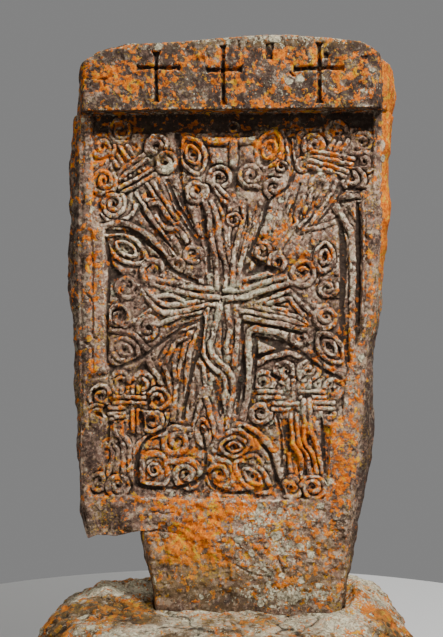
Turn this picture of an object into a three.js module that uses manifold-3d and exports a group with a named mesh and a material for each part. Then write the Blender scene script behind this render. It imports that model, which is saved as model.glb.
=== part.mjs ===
// A carved memorial cross-stone: a tall relief slab with a projecting cornice, set in a rough base stone.
// Millimetres, +Z up. The carved front faces -Y and the origin is the middle of the base stone's underside.
import * as THREE from 'three';
import { mergeVertices } from 'three/addons/utils/BufferGeometryUtils.js';
import Module from 'manifold-3d';

const wasm = await Module();
wasm.setup();

// Driving sizes
const BASE_HEIGHT = 270;
const BASE_HALF_WIDTH = 585;
const BASE_HALF_DEPTH = 415;
const BASE_FRONT_DIP = 38;
const SLAB_THICKNESS = 290;
const CORNICE_UNDERSIDE = 1461;
const CORNICE_HEIGHT = 219;
const CORNICE_REACH = 65;
const FIELD_BOTTOM = 300;
const FIELD_DEPTH = 20;
const RIB_HEIGHT = 17;
const RIB_WIDTH = 11;
const BAND_WIDTH = 25;
const BAND_GROOVE = 5;
const WEAVE_STEP = 1.3;
const SHOULDER = 186;
const TENON_DEPTH = 130;
const TENON_CLEARANCE = 3;
const SEAT_GAP = 0.3;
const INCISION_DEPTH = 9;
const SCROLL_SIDES = 8;
const ROOT = 4;
const SIDE_NEAR = 0.17;
const SIDE_WIDEST = 0.45;
const SIDE_REAR = 0.76;
const SIDE_BULGE = 0.7;
const BACK_CORNER = 60;

// Planes of the slab: heights below are measured from the base stone's top, like the heights of the carving
const FACE_Y = -SLAB_THICKNESS / 2;
const BACK_Y = SLAB_THICKNESS / 2;
const GROUND_Y = FACE_Y + FIELD_DEPTH;
const SLAB_TOP = CORNICE_UNDERSIDE + CORNICE_HEIGHT;

function toSolid(geometry) {
  geometry.deleteAttribute('normal');
  geometry.deleteAttribute('uv');
  const merged = mergeVertices(geometry, 1e-3);
  const vertProperties = new Float32Array(merged.attributes.position.array);
  const triVerts = new Uint32Array(merged.index.array);
  return new wasm.Manifold(new wasm.Mesh({ numProp: 3, vertProperties, triVerts }));
}

function toGeometry(solid) {
  const mesh = solid.getMesh();
  const geometry = new THREE.BufferGeometry();
  geometry.setAttribute('position', new THREE.BufferAttribute(new Float32Array(mesh.vertProperties), 3));
  geometry.setIndex(new THREE.BufferAttribute(new Uint32Array(mesh.triVerts), 1));
  geometry.computeVertexNormals();
  return geometry;
}

// A closed skin over rings of points, each ring anticlockwise from above, the rings from the bottom up
function loft(rings) {
  const count = rings[0].length;
  const positions = rings.flat().flat();
  const triangles = [];
  const mean = (ring, axis) => ring.reduce((sum, point) => sum + point[axis], 0) / count;
  const middle = (ring) => [mean(ring, 0), mean(ring, 1), mean(ring, 2)];
  const bottom = rings.length * count;
  const top = bottom + 1;
  positions.push(...middle(rings[0]), ...middle(rings[rings.length - 1]));
  for (let level = 0; level < rings.length - 1; level += 1) {
    for (let i = 0; i < count; i += 1) {
      const a = level * count + i;
      const b = level * count + ((i + 1) % count);
      triangles.push(a, b, b + count, a, b + count, a + count);
    }
  }
  const last = (rings.length - 1) * count;
  for (let i = 0; i < count; i += 1) {
    const next = (i + 1) % count;
    triangles.push(bottom, next, i, top, last + i, last + next);
  }
  const geometry = new THREE.BufferGeometry();
  geometry.setAttribute('position', new THREE.Float32BufferAttribute(positions, 3));
  geometry.setIndex(triangles);
  return toSolid(geometry);
}

// A prism whose outline is drawn on the face plane, from frontY back to backY
function prism(outline, frontY, backY) {
  const shape = new THREE.Shape(outline.map(([x, z]) => new THREE.Vector2(x, z)));
  const geometry = new THREE.ExtrudeGeometry(shape, { depth: backY - frontY, bevelEnabled: false });
  geometry.rotateX(Math.PI / 2);
  geometry.translate(0, backY, BASE_HEIGHT);
  return toSolid(geometry);
}

// The outline of a strip of even width along a line of points
function stripOutline(points, width) {
  const left = [];
  const right = [];
  points.forEach((point, i) => {
    const before = points[Math.max(i - 1, 0)];
    const after = points[Math.min(i + 1, points.length - 1)];
    const length = Math.hypot(after[0] - before[0], after[1] - before[1]);
    const nx = -(after[1] - before[1]) / length;
    const nz = (after[0] - before[0]) / length;
    left.push([point[0] + (nx * width) / 2, point[1] + (nz * width) / 2]);
    right.unshift([point[0] - (nx * width) / 2, point[1] - (nz * width) / 2]);
  });
  return [...left, ...right];
}

// Carved strips collect here, each a little higher or lower than the last, so crossings read as a weave
const carving = [];

function rib(points, width = RIB_WIDTH) {
  const sink = (carving.length % 3) * WEAVE_STEP;
  carving.push(prism(stripOutline(points, width), GROUND_Y - RIB_HEIGHT + sink, GROUND_Y + ROOT));
}

// Two ribs side by side with a groove between them
function band(points) {
  const outline = stripOutline(points, BAND_WIDTH / 2 + BAND_GROOVE / 2);
  const half = points.length;
  const ribWidth = (BAND_WIDTH - BAND_GROOVE) / 2;
  rib(outline.slice(0, half), ribWidth);
  rib(outline.slice(half), ribWidth);
}

// A scroll that winds in from its rim. Its rim begins at start, in degrees anticlockwise from the right.
function scroll(x, z, radius, start, hand = 1, turns = 1.25, tail = []) {
  const steps = Math.round(SCROLL_SIDES * turns);
  const inner = radius * 0.38;
  const points = [];
  for (let i = 0; i <= steps; i += 1) {
    const turn = (i / steps) * turns;
    const closing = Math.max(0, (turn - 0.5) / (turns - 0.5));
    const r = radius + (inner - radius) * closing;
    const angle = THREE.MathUtils.degToRad(start) + hand * turn * 2 * Math.PI;
    points.push([x + r * Math.cos(angle), z + r * Math.sin(angle)]);
  }
  rib(points, radius * 0.34);
  if (tail.length) {
    rib([...tail, points[0]]);
  }
}

// An almond leaf: a pointed ring with a raised seed in it, tilted anticlockwise by the given degrees
function leaf(x, z, halfLength, halfWidth, tilt) {
  const turn = THREE.MathUtils.degToRad(tilt);
  const almond = (scale) => {
    const points = [];
    const sides = 8;
    for (let i = 0; i < sides; i += 1) {
      const angle = (i / sides) * 2 * Math.PI;
      const along = Math.cos(angle) * halfLength * scale;
      const across = Math.sin(angle) * halfWidth * scale;
      points.push([
        x + across * Math.cos(turn) - along * Math.sin(turn),
        z + across * Math.sin(turn) + along * Math.cos(turn),
      ]);
    }
    return points;
  };
  const top = GROUND_Y - RIB_HEIGHT + WEAVE_STEP / 2;
  const rim = prism(almond(1), top, GROUND_Y + ROOT);
  const hollow = prism(almond(0.66), top - ROOT, GROUND_Y - ROOT);
  const seed = prism(almond(0.36), top + WEAVE_STEP, GROUND_Y);
  carving.push(rim.subtract(hollow).add(seed));
}

function pad(points) {
  carving.push(prism(points, GROUND_Y - RIB_HEIGHT + 2 * WEAVE_STEP, GROUND_Y + ROOT));
}

// Places a point of a small cross by its own axes: across and up from its centre, turned by its tilt
function frameOf(x, z, tilt) {
  const turn = THREE.MathUtils.degToRad(tilt);
  return (across, up) => [
    x + across * Math.cos(turn) - up * Math.sin(turn),
    z + across * Math.sin(turn) + up * Math.cos(turn),
  ];
}

// A small interlaced cross: two scrolls on each arm, two bands each way, and a stepped stem
function smallCross({ x, z, tilt, reachUp, reachLeft, reachRight, spread, radius, stem, shift }) {
  const at = frameOf(x, z, tilt);
  const end = (across, up, start, hand) => {
    const [cx, cz] = at(across, up);
    scroll(cx, cz, radius, start + tilt, hand);
  };
  end(-spread, reachUp, -45, 1);
  end(spread, reachUp, -135, -1);
  end(-reachLeft, spread, -45, -1);
  end(-reachLeft, -spread, 45, 1);
  end(reachRight, spread, -135, 1);
  end(reachRight, -spread, 135, -1);
  const stepped = (across, top, stepFrom, stepTo) => {
    rib([at(across, top), at(across, -stepFrom), at(across + shift, -stepTo), at(across + shift, -stem)]);
  };
  const lane = spread * 0.62;
  for (const side of [-lane, lane]) {
    band([at(side, reachUp - radius), at(side, -lane - BAND_WIDTH)]);
    band([at(-reachLeft + radius, side), at(reachRight - radius, side)]);
  }
  for (const side of [-1, 1]) {
    stepped(side * lane * 0.45, -lane, stem * 0.38, stem * 0.52);
    stepped(side * lane * 1.35, -lane - BAND_WIDTH, stem * 0.45, stem * 0.6);
  }
}

// The slab's plan at one height: left and right front edges, how far each rough side swells, and the back
function slabRing([height, left, right, swellLeft, swellRight], grow = 0, frontGrow = 0) {
  const z = BASE_HEIGHT + height;
  const sideY = FACE_Y + SLAB_THICKNESS * SIDE_NEAR;
  const widestY = FACE_Y + SLAB_THICKNESS * SIDE_WIDEST;
  const rearY = FACE_Y + SLAB_THICKNESS * SIDE_REAR;
  const l = left - grow;
  const r = right + grow;
  return [
    [l, FACE_Y - frontGrow, z],
    [r, FACE_Y - frontGrow, z],
    [r + swellRight * SIDE_BULGE, sideY, z],
    [r + swellRight, widestY, z],
    [r + swellRight * SIDE_BULGE, rearY, z],
    [r - BACK_CORNER, BACK_Y + grow - 6, z],
    [(l + r) / 2, BACK_Y + grow, z],
    [l + BACK_CORNER, BACK_Y + grow - 10, z],
    [l - swellLeft * SIDE_BULGE, rearY, z],
    [l - swellLeft, widestY, z],
    [l - swellLeft * SIDE_BULGE, sideY, z],
  ];
}

// Height, left edge, right edge, left swell, right swell, from the shoulder up
const BODY_LEVELS = [
  [SHOULDER, -405, 378, 12, 34],
  [260, -419, 384, 20, 44],
  [420, -424, 392, 28, 58],
  [600, -424, 412, 32, 46],
  [780, -425, 432, 40, 36],
  [850, -425, 452, 48, 22],
  [975, -427, 460, 58, 24],
  [1180, -425, 462, 60, 52],
  [1300, -422, 463, 62, 52],
  [1410, -422, 470, 50, 52],
  [SLAB_TOP - CORNICE_HEIGHT * 0.48, -418, 468, 44, 72],
  [SLAB_TOP - CORNICE_HEIGHT * 0.23, -405, 452, 40, 62],
  [SLAB_TOP - CORNICE_HEIGHT * 0.08, -370, 410, 30, 40],
];

// The foot below the broken left shoulder, from the tenon's end up into the body
const FOOT_LEVELS = [
  [-TENON_DEPTH, -186, 338, 16, 8],
  [-70, -192, 343, 18, 10],
  [30, -201, 366, 20, 20],
  [80, -212, 371, 20, 22],
  [170, -228, 376, 20, 34],
  [250, -232, 380, 20, 36],
];

function slabBlank() {
  const body = loft(BODY_LEVELS.map((level) => slabRing(level)));
  const foot = loft(FOOT_LEVELS.map((level) => slabRing(level)));
  const left = -411;
  const right = 462;
  const profile = [
    [left, CORNICE_UNDERSIDE],
    [right, CORNICE_UNDERSIDE - 4],
    [right + 3, SLAB_TOP - CORNICE_HEIGHT * 0.22],
    [420, SLAB_TOP - CORNICE_HEIGHT * 0.09],
    [310, SLAB_TOP - CORNICE_HEIGHT * 0.04],
    [200, SLAB_TOP],
    [60, SLAB_TOP - CORNICE_HEIGHT * 0.015],
    [-150, SLAB_TOP - CORNICE_HEIGHT * 0.07],
    [-270, SLAB_TOP - CORNICE_HEIGHT * 0.09],
    [-350, SLAB_TOP - CORNICE_HEIGHT * 0.17],
    [left + 4, SLAB_TOP - CORNICE_HEIGHT * 0.28],
  ];
  const cornice = prism(profile, FACE_Y - CORNICE_REACH, FACE_Y + SLAB_THICKNESS * 0.6);
  return body.add(foot).add(cornice);
}

// The sunken field of the carving, wider beside the four small crosses than beside the great cross
function field() {
  const outline = [
    [-396, CORNICE_UNDERSIDE],
    [-396, 1128],
    [-352, 1112],
    [-350, 690],
    [-410, 676],
    [-408, FIELD_BOTTOM + 14],
    [-300, FIELD_BOTTOM],
    [306, FIELD_BOTTOM],
    [356, 520],
    [398, 720],
    [403, 1195],
    [458, 1228],
    [458, CORNICE_UNDERSIDE],
  ];
  return prism(outline, FACE_Y - ROOT, GROUND_Y);
}

// A cross cut into the cornice: bars that are narrow where they meet and flare at their ends.
// Its head, arms and foot are shares of the cornice's height.
function incisedCross({ x, head, arms: armShare, foot, armLeft, armRight }) {
  const top = CORNICE_UNDERSIDE + CORNICE_HEIGHT * head;
  const armHeight = CORNICE_UNDERSIDE + CORNICE_HEIGHT * armShare;
  const bottom = CORNICE_UNDERSIDE + CORNICE_HEIGHT * foot;
  const narrow = 4;
  const flare = 9;
  const frontY = FACE_Y - CORNICE_REACH;
  const upright = prism(
    [
      [x - flare, bottom],
      [x + flare, bottom],
      [x + narrow, armHeight],
      [x + flare, top],
      [x - flare, top],
      [x - narrow, armHeight],
    ],
    frontY - ROOT,
    frontY + INCISION_DEPTH,
  );
  const arms = prism(
    [
      [armLeft, armHeight - flare],
      [x, armHeight - narrow],
      [armRight, armHeight - flare],
      [armRight, armHeight + flare],
      [x, armHeight + narrow],
      [armLeft, armHeight + flare],
    ],
    frontY - ROOT,
    frontY + INCISION_DEPTH - 1,
  );
  return upright.add(arms);
}

function carveSmallCrosses() {
  const upperLeft = { x: -268, z: 1285, tilt: 38, reachUp: 126, reachLeft: 98, reachRight: 92 };
  const upperRight = { x: 336, z: 1308, tilt: -34, reachUp: 94, reachLeft: 78, reachRight: 74 };
  const lowerLeft = { x: -276, z: 582, tilt: 0, reachUp: 69, reachLeft: 96, reachRight: 74 };
  const lowerRight = { x: 226, z: 600, tilt: 0, reachUp: 86, reachLeft: 104, reachRight: 102 };
  smallCross({ ...upperLeft, spread: 34, radius: 29, stem: 250, shift: 0 });
  smallCross({ ...upperRight, spread: 36, radius: 27, stem: 250, shift: 6 });
  smallCross({ ...lowerLeft, spread: 32, radius: 28, stem: 215, shift: -34 });
  smallCross({ ...lowerRight, spread: 37, radius: 28, stem: 235, shift: 30 });
  // The scrolls at the feet of the lower crosses, then those at the feet of the upper ones
  scroll(-372, 350, 27, 45, -1);
  scroll(-317, 338, 27, 120, 1);
  scroll(208, 340, 27, 100, 1);
  scroll(274, 338, 27, 130, 1);
  scroll(-88, 1038, 22, 100, -1, 1.0);
  scroll(-142, 1005, 22, 120, 1, 1.0);
  scroll(122, 1044, 22, 110, -1, 1.0);
  scroll(168, 1013, 22, 70, 1, 1.0);
}

function carveGreatCrossTop() {
  rib([[-42, 1379], [98, 1377]], 17);
  rib([[36, 1372], [36, 1312]], 20);
  pad([[-32, 1310], [4, 1310], [4, 1346], [-32, 1346]]);
  pad([[62, 1318], [98, 1318], [98, 1352], [62, 1352]]);
  leaf(-88, 1340, 57, 36, 20);
  leaf(143, 1353, 57, 36, -16);
  scroll(-77, 1229, 29, 30, -1);
  scroll(-6, 1268, 30, 190, -1, 1.25, [[14, 1188], [-12, 1225]]);
  scroll(88, 1275, 29, 300, -1, 1.25, [[118, 1235]]);
  scroll(158, 1240, 27, 50, -1);
  scroll(181, 1299, 13, 0, 1, 1.0);
  rib([[-52, 1197], [-36, 1110], [-22, 1035], [-14, 925]], 13);
  rib([[-32, 1202], [-10, 1110], [8, 1010], [10, 925]], 13);
  rib([[64, 1185], [53, 1105], [34, 1020], [32, 925]], 12);
  rib([[92, 1185], [70, 1060], [50, 925]], 13);
  rib([[118, 1195], [90, 1100], [74, 1040]]);
  pad([[130, 1085], [150, 1110], [178, 1215], [148, 1215], [112, 1100]]);
  pad([[-64, 1092], [-76, 1185], [-98, 1185], [-76, 1087]]);
  scroll(35, 1140, 17, 0, 1, 1.0);
}

function carveLeftArm() {
  leaf(-290, 1056, 76, 40, 58);
  rib([[-346, 1128], [-285, 1130], [-240, 1108], [-205, 1080], [-172, 1034]], 13);
  scroll(-286, 943, 28, 0, -1);
  scroll(-205, 985, 30, 200, -1, 1.25, [[-52, 910], [-110, 922], [-170, 938]]);
  rib([[-52, 934], [-100, 942], [-170, 957]], 14);
  scroll(-309, 852, 29, 300, -1, 1.25, [[-216, 872], [-250, 845]]);
  scroll(-224, 814, 29, 20, 1, 1.25, [[-95, 862], [-140, 848]]);
  rib([[-245, 930], [-205, 880], [-165, 862], [-100, 870]], 12);
  rib([[-233, 942], [-198, 904], [-170, 889], [-110, 892]], 12);
  rib([[-345, 812], [-270, 797], [-243, 768], [-205, 742]], 14);
  leaf(-296, 750, 50, 36, 62);
}

function carveRightArm() {
  rib([[2, 905], [62, 910], [136, 930], [200, 949]], 14);
  rib([[2, 928], [60, 931], [140, 955], [195, 970]], 13);
  scroll(240, 981, 32, 215, 1);
  rib([[98, 887], [193, 923], [238, 890], [272, 858]]);
  rib([[98, 883], [150, 868], [232, 846], [262, 822]]);
  rib([[132, 888], [200, 905], [222, 880], [250, 852]]);
  rib([[52, 868], [186, 846], [240, 825], [266, 785]], 12);
  rib([[65, 847], [136, 834], [207, 818], [250, 800]], 13);
  leaf(316, 1046, 52, 30, -8);
  scroll(316, 937, 26, 60, -1);
  scroll(314, 850, 30, 120, 1);
  scroll(239, 787, 24, 0, 1);
  leaf(325, 758, 58, 34, 38);
  rib([[88, 560], [86, 640], [84, 806], [157, 800], [188, 790]], 15);
  pad([[108, 738], [165, 752], [105, 780]]);
  rib([[338, 1210], [420, 1212]], 16);
  rib([[340, 1175], [362, 1130], [376, 1080], [374, 900], [378, 710]], 15);
}

function carveStem() {
  rib([[-50, 848], [-60, 785], [-45, 715], [-2, 680], [12, 635], [0, 560]], 12);
  rib([[-15, 842], [-30, 780], [-27, 737], [28, 677], [35, 625], [17, 512]], 14);
  rib([[22, 840], [12, 760], [20, 738]], 12);
  rib([[47, 842], [47, 800], [38, 700]], 12);
  rib([[-78, 825], [-102, 720], [-112, 570]], 16);
  rib([[-90, 668], [-97, 580]], 12);
  rib([[-50, 610], [-35, 550], [-28, 495]], 12);
  rib([[-62, 592], [-97, 485]], 12);
}

function carvePalmettes() {
  const curls = [
    [-134, 474, 36, 60, 1],
    [-206, 386, 38, 100, 1],
    [-106, 372, 36, 120, -1],
    [-9, 372, 37, 120, -1],
  ];
  for (const [x, z, radius, start, hand] of curls) {
    scroll(x, z, radius, start, hand);
  }
  leaf(-56, 500, 42, 19, 4);
  leaf(36, 456, 42, 30, 90);
  leaf(82, 362, 58, 30, 50);
  rib([[44, 520], [75, 505], [92, 480]], 14);
  rib([[92, 520], [140, 470], [165, 400], [160, 340]], 16);
}

function makeSlab() {
  carveSmallCrosses();
  carveGreatCrossTop();
  carveLeftArm();
  carveRightArm();
  carveStem();
  carvePalmettes();
  const relief = carving.reduce((sum, piece) => sum.add(piece));
  const incisions = [
    { x: -190, head: 0.8, arms: 0.575, foot: 0.11, armLeft: -248, armRight: -119 },
    { x: 9, head: 0.87, arms: 0.53, foot: 0.065, armLeft: -44, armRight: 67 },
    { x: 291, head: 0.885, arms: 0.535, foot: 0.065, armLeft: 215, armRight: 366 },
  ];
  let slab = slabBlank().subtract(field()).add(relief);
  for (const incision of incisions) {
    slab = slab.subtract(incisedCross(incision));
  }
  return slab;
}

// The base stone swells from its cut underside and rounds in to an uneven top, lower in front of the slab
const BASE_SIDES = 18;
const BASE_LEVELS = [
  [0, 0.975],
  [BASE_HEIGHT * 0.22, 1],
  [BASE_HEIGHT * 0.485, 0.975],
  [BASE_HEIGHT * 0.68, 0.925],
  [BASE_HEIGHT * 0.86, 0.85],
];
const BASE_TOP_SCALE = 0.7;

function baseRing(height, scale, lift = () => 0) {
  const ring = [];
  for (let i = 0; i < BASE_SIDES; i += 1) {
    const angle = (i / BASE_SIDES) * 2 * Math.PI;
    const c = Math.cos(angle);
    const s = Math.sin(angle);
    const rough = 1 + 0.022 * Math.sin(3 * angle + 0.6) + 0.016 * Math.sin(5 * angle + 2.1 + height / 90);
    const reach = (scale * rough) / (Math.abs(c) ** 3 + Math.abs(s) ** 3) ** (1 / 3);
    ring.push([BASE_HALF_WIDTH * reach * c, BASE_HALF_DEPTH * reach * s, height + lift(angle)]);
  }
  return ring;
}

function makeBaseStone() {
  const lift = (angle) => {
    const dip = BASE_FRONT_DIP * Math.max(0, -Math.sin(angle));
    return 14 * Math.cos(angle) + 10 * Math.sin(2 * angle + 0.8) - 2 - dip;
  };
  const rings = BASE_LEVELS.map(([height, scale]) => baseRing(height, scale));
  rings.push(baseRing(BASE_HEIGHT, BASE_TOP_SCALE, lift));
  const tenonLevels = FOOT_LEVELS.filter(([height]) => height < SHOULDER);
  const socket = tenonLevels.map((level, i) => {
    const drop = i === 0 ? SEAT_GAP : 0;
    return slabRing([level[0] - drop, ...level.slice(1)], TENON_CLEARANCE, TENON_CLEARANCE);
  });
  return loft(rings).subtract(loft(socket));
}

function stone(color) {
  return new THREE.MeshStandardMaterial({ color, roughness: 0.92, metalness: 0 });
}

const khachkar = new THREE.Group();

const slabMesh = new THREE.Mesh(toGeometry(makeSlab()), stone(0x8a6a58));
slabMesh.name = 'slab';
khachkar.add(slabMesh);

const baseMesh = new THREE.Mesh(toGeometry(makeBaseStone()), stone(0x9c8f7c));
baseMesh.name = 'base_stone';
khachkar.add(baseMesh);

export default khachkar;
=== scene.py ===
"""The looks of a carved memorial cross-stone: a weathered relief slab in its rough base stone."""
import math

import bpy
import numpy as np
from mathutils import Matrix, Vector


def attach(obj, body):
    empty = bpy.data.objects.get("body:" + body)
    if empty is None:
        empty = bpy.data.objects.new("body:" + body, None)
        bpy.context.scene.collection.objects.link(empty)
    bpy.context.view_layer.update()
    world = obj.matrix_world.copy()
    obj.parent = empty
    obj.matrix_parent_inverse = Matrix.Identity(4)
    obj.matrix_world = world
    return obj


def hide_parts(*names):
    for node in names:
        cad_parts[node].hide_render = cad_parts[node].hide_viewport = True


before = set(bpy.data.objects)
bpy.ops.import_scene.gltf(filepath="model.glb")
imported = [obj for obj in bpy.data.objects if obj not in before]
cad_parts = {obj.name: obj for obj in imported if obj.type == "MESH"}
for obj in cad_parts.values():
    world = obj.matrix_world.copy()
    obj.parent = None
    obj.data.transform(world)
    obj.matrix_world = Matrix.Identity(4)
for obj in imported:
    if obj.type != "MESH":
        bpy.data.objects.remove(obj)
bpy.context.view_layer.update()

# Sizes in millimetres. On the slab, z is measured from the base stone's top and x from that stone's middle.
MM = 0.001
BASE_HEIGHT = 270.0
BASE_HALF_WIDTH = 585.0
BASE_HALF_DEPTH = 415.0
BASE_FRONT_DIP = 38.0
THICKNESS = 290.0
FACE_Y = -THICKNESS / 2
BACK_Y = THICKNESS / 2
CORNICE_UNDERSIDE = 1461.0
CORNICE_HEIGHT = 219.0
CORNICE_REACH = 65.0
FIELD_BOTTOM = 300.0
FIELD_DEPTH = 21.0
TENON_DEPTH = 129.0
TENON_CLEARANCE = 3.0
RASTER_STEP = 1.5
RASTER_LOW = (-500.0, -150.0)
RASTER_HIGH = (560.0, 1720.0)
FRONT_STEP = 2.3
SLAB_TRIANGLES = 192000
# Small and large lengths that keep divisions and comparisons sound
TINY = 1e-9
HAIR = 1e-6
FAR = 1e9


def colour(red, green, blue):
    """A screen colour, 0 to 255, as the linear colour that shaders take."""
    linear = []
    for value in (red, green, blue):
        v = value / 255
        linear.append(v / 12.92 if v <= 0.04045 else ((v + 0.055) / 1.055) ** 2.4)
    return (*linear, 1.0)


def step_up(low, high, value):
    """A smooth step from 0 at the low value to 1 at the high one."""
    t = np.clip((value - low) / (high - low), 0.0, 1.0)
    return t * t * (3 - 2 * t)


def as_points(x, y, z):
    return np.stack([x.ravel(), y.ravel(), z.ravel()], axis=1)


# Noise
LATTICE = 32
NOISE_ORIGIN = 1000.0
OCTAVE_SEED_STEP = 7


def noise(points, cell, seed):
    """Smooth value noise from -1 to 1 at points of an (n, 3) array, with features about a cell wide."""
    table = np.random.default_rng(seed).random((LATTICE, LATTICE, LATTICE), dtype=np.float32) * 2 - 1
    p = np.asarray(points, dtype=np.float64) / cell + NOISE_ORIGIN
    i = np.floor(p).astype(np.int64)
    f = p - i
    f = (f * f * (3 - 2 * f)).astype(np.float32)
    i %= LATTICE
    j = (i + 1) % LATTICE
    total = np.zeros(len(p), dtype=np.float32)
    for ix, wx in ((i[:, 0], 1 - f[:, 0]), (j[:, 0], f[:, 0])):
        for iy, wy in ((i[:, 1], 1 - f[:, 1]), (j[:, 1], f[:, 1])):
            for iz, wz in ((i[:, 2], 1 - f[:, 2]), (j[:, 2], f[:, 2])):
                total += table[ix, iy, iz] * wx * wy * wz
    return total


def rough(points, cell, seed, octaves=4):
    """Noise in octaves, each half as wide and half as strong as the one before."""
    return sum(0.5 ** k * noise(points, cell / 2 ** k, seed + OCTAVE_SEED_STEP * k) for k in range(octaves))


# The raster of the carved front
COLUMNS = int((RASTER_HIGH[0] - RASTER_LOW[0]) / RASTER_STEP) + 1
ROWS = int((RASTER_HIGH[1] - RASTER_LOW[1]) / RASTER_STEP) + 1
grid_x, grid_z = np.meshgrid(
    RASTER_LOW[0] + RASTER_STEP * np.arange(COLUMNS),
    RASTER_LOW[1] + RASTER_STEP * np.arange(ROWS),
)
flat_points = as_points(grid_x, np.zeros_like(grid_x), grid_z)


def raster_noise(cell, seed, octaves=4):
    return rough(flat_points, cell, seed, octaves).reshape(ROWS, COLUMNS)


def patches(cell, seed, octaves, low, high):
    """Noise above the low value, rising from 0 to 1 at the high one."""
    return step_up(low, high, raster_noise(cell, seed, octaves))


# The carver's hand: every line wanders a little, in slow sweeps and in small jerks
SWEEP = 1.7
SWEEP_CELL = 36
JERK = 1.2
JERK_CELL = 11


def wander(seed):
    return SWEEP * raster_noise(SWEEP_CELL, seed, 2) + JERK * raster_noise(JERK_CELL, seed + 10, 2)


WANDER_X = wander(301)
WANDER_Z = wander(331)


def window(points, reach):
    """The raster's rows and columns within reach of the points, with their x and z after the wander."""
    p = np.asarray(points)
    low = np.floor((p.min(axis=0) - reach - RASTER_LOW) / RASTER_STEP).astype(int)
    high = np.ceil((p.max(axis=0) + reach - RASTER_LOW) / RASTER_STEP).astype(int) + 1
    low = np.maximum(low, 0)
    cells = (slice(low[1], min(high[1], ROWS)), slice(low[0], min(high[0], COLUMNS)))
    return cells, grid_x[cells] + WANDER_X[cells], grid_z[cells] + WANDER_Z[cells]


def distance(points, x, z):
    """Distance from each raster point to a line through the points."""
    best = np.full(x.shape, FAR)
    for (ax, az), (bx, bz) in zip(points[:-1], points[1:]):
        dx, dz = bx - ax, bz - az
        length = dx * dx + dz * dz + TINY
        t = np.clip(((x - ax) * dx + (z - az) * dz) / length, 0, 1)
        best = np.minimum(best, np.hypot(x - ax - t * dx, z - az - t * dz))
    return best


def outline_distance(points, x, z):
    """Distance from each raster point to a closed outline."""
    return distance([*points, points[0]], x, z)


def inside(points, x, z):
    """Which raster points lie inside a closed outline."""
    found = np.zeros(x.shape, dtype=bool)
    for (ax, az), (bx, bz) in zip(points, [*points[1:], points[0]]):
        if az != bz:
            crossing = (az > z) != (bz > z)
            found ^= crossing & (x < (bx - ax) * (z - az) / (bz - az) + ax)
    return found


def zones(places, x, z):
    """The strongest of several soft spots at each point: middle, half sizes and strength of each."""
    total = np.zeros(x.shape)
    for cx, cz, rx, rz, strength in places:
        total = np.maximum(total, strength * np.exp(-(((x - cx) / rx) ** 2 + ((z - cz) / rz) ** 2)))
    return total


LINE_PARTS = 6


def smooth_line(points):
    """A smooth line through given points."""
    if len(points) < 3:
        return [tuple(p) for p in points]
    padded = [points[0], *points, points[-1]]
    line = []
    for i in range(1, len(padded) - 2):
        a, b, c, d = (np.array(padded[i + k], dtype=float) for k in (-1, 0, 1, 2))
        for k in range(LINE_PARTS):
            t = k / LINE_PARTS
            square, cube = 2 * a - 5 * b + 4 * c - d, 3 * b - a - 3 * c + d
            line.append(tuple((2 * b + (c - a) * t + square * t ** 2 + cube * t ** 3) / 2))
    line.append(tuple(points[-1]))
    return line


def offset_line(points, shift):
    """The line moved sideways by the shift."""
    line = []
    for i, point in enumerate(points):
        before = points[max(i - 1, 0)]
        after = points[min(i + 1, len(points) - 1)]
        dx, dz = after[0] - before[0], after[1] - before[1]
        length = math.hypot(dx, dz) + TINY
        line.append((point[0] - shift * dz / length, point[1] + shift * dx / length))
    return line


def blur(field, radius):
    """A soft average over about the radius, in raster cells."""
    size = radius * 2 + 1
    weights = np.hanning(size + 2)[1:-1]
    weights /= weights.sum()
    for axis in (0, 1):
        padded = np.pad(field, [(radius, radius) if a == axis else (0, 0) for a in (0, 1)], mode="edge")
        total = np.zeros_like(field)
        for k, weight in enumerate(weights):
            cut = [slice(None), slice(None)]
            cut[axis] = slice(k, k + field.shape[axis])
            total += weight * padded[tuple(cut)]
        field = total
    return field


# Relief above the deepest ground of the field: ribs stand over a ground that is cut down beside them
FIELD_LEVEL = 11.0
RIB_TOP = 18.5
RIB_SHARPNESS = 3.8
RIB_SWELL = 3.2
MOAT = 3.0
MOAT_FLOOR = 0.5
GROUND_SLOPE = 15.0
NARROW_FLOOR = 6.0
CROWD_REACH = 11
relief = np.full((ROWS, COLUMNS), FIELD_LEVEL)
clearance = np.full((ROWS, COLUMNS), GROUND_SLOPE)
deep = np.zeros((ROWS, COLUMNS), dtype=bool)
UNEVEN_WIDTH = 1 + 0.20 * np.clip(raster_noise(42, 361, 2), -1, 1)
UNEVEN_TOP = 1 - 0.22 * np.clip(raster_noise(34, 371, 3), -0.5, 1)
RAGGED_EDGE = 0.9 * raster_noise(8, 381, 3)
UNEVEN_MOAT = np.clip(1.0 + 1.3 * raster_noise(64, 391, 3), 0.35, 2.2)
UNEVEN_GROUND = np.clip(1.0 + 0.9 * raster_noise(110, 395, 2), 0.5, 2.0)


def past_end(points, x, z, d):
    """How far each raster point lies beyond the nearer end of an open line, or zero beside it."""
    past = np.zeros(x.shape)
    for end, before in ((points[0], points[1]), (points[-1], points[-2])):
        dx, dz = end[0] - before[0], end[1] - before[1]
        length = math.hypot(dx, dz) + TINY
        along = ((x - end[0]) * dx + (z - end[1]) * dz) / length
        close = np.hypot(x - end[0], z - end[1]) < d + HAIR
        past = np.where(close, np.maximum(past, along), past)
    return past


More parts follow.
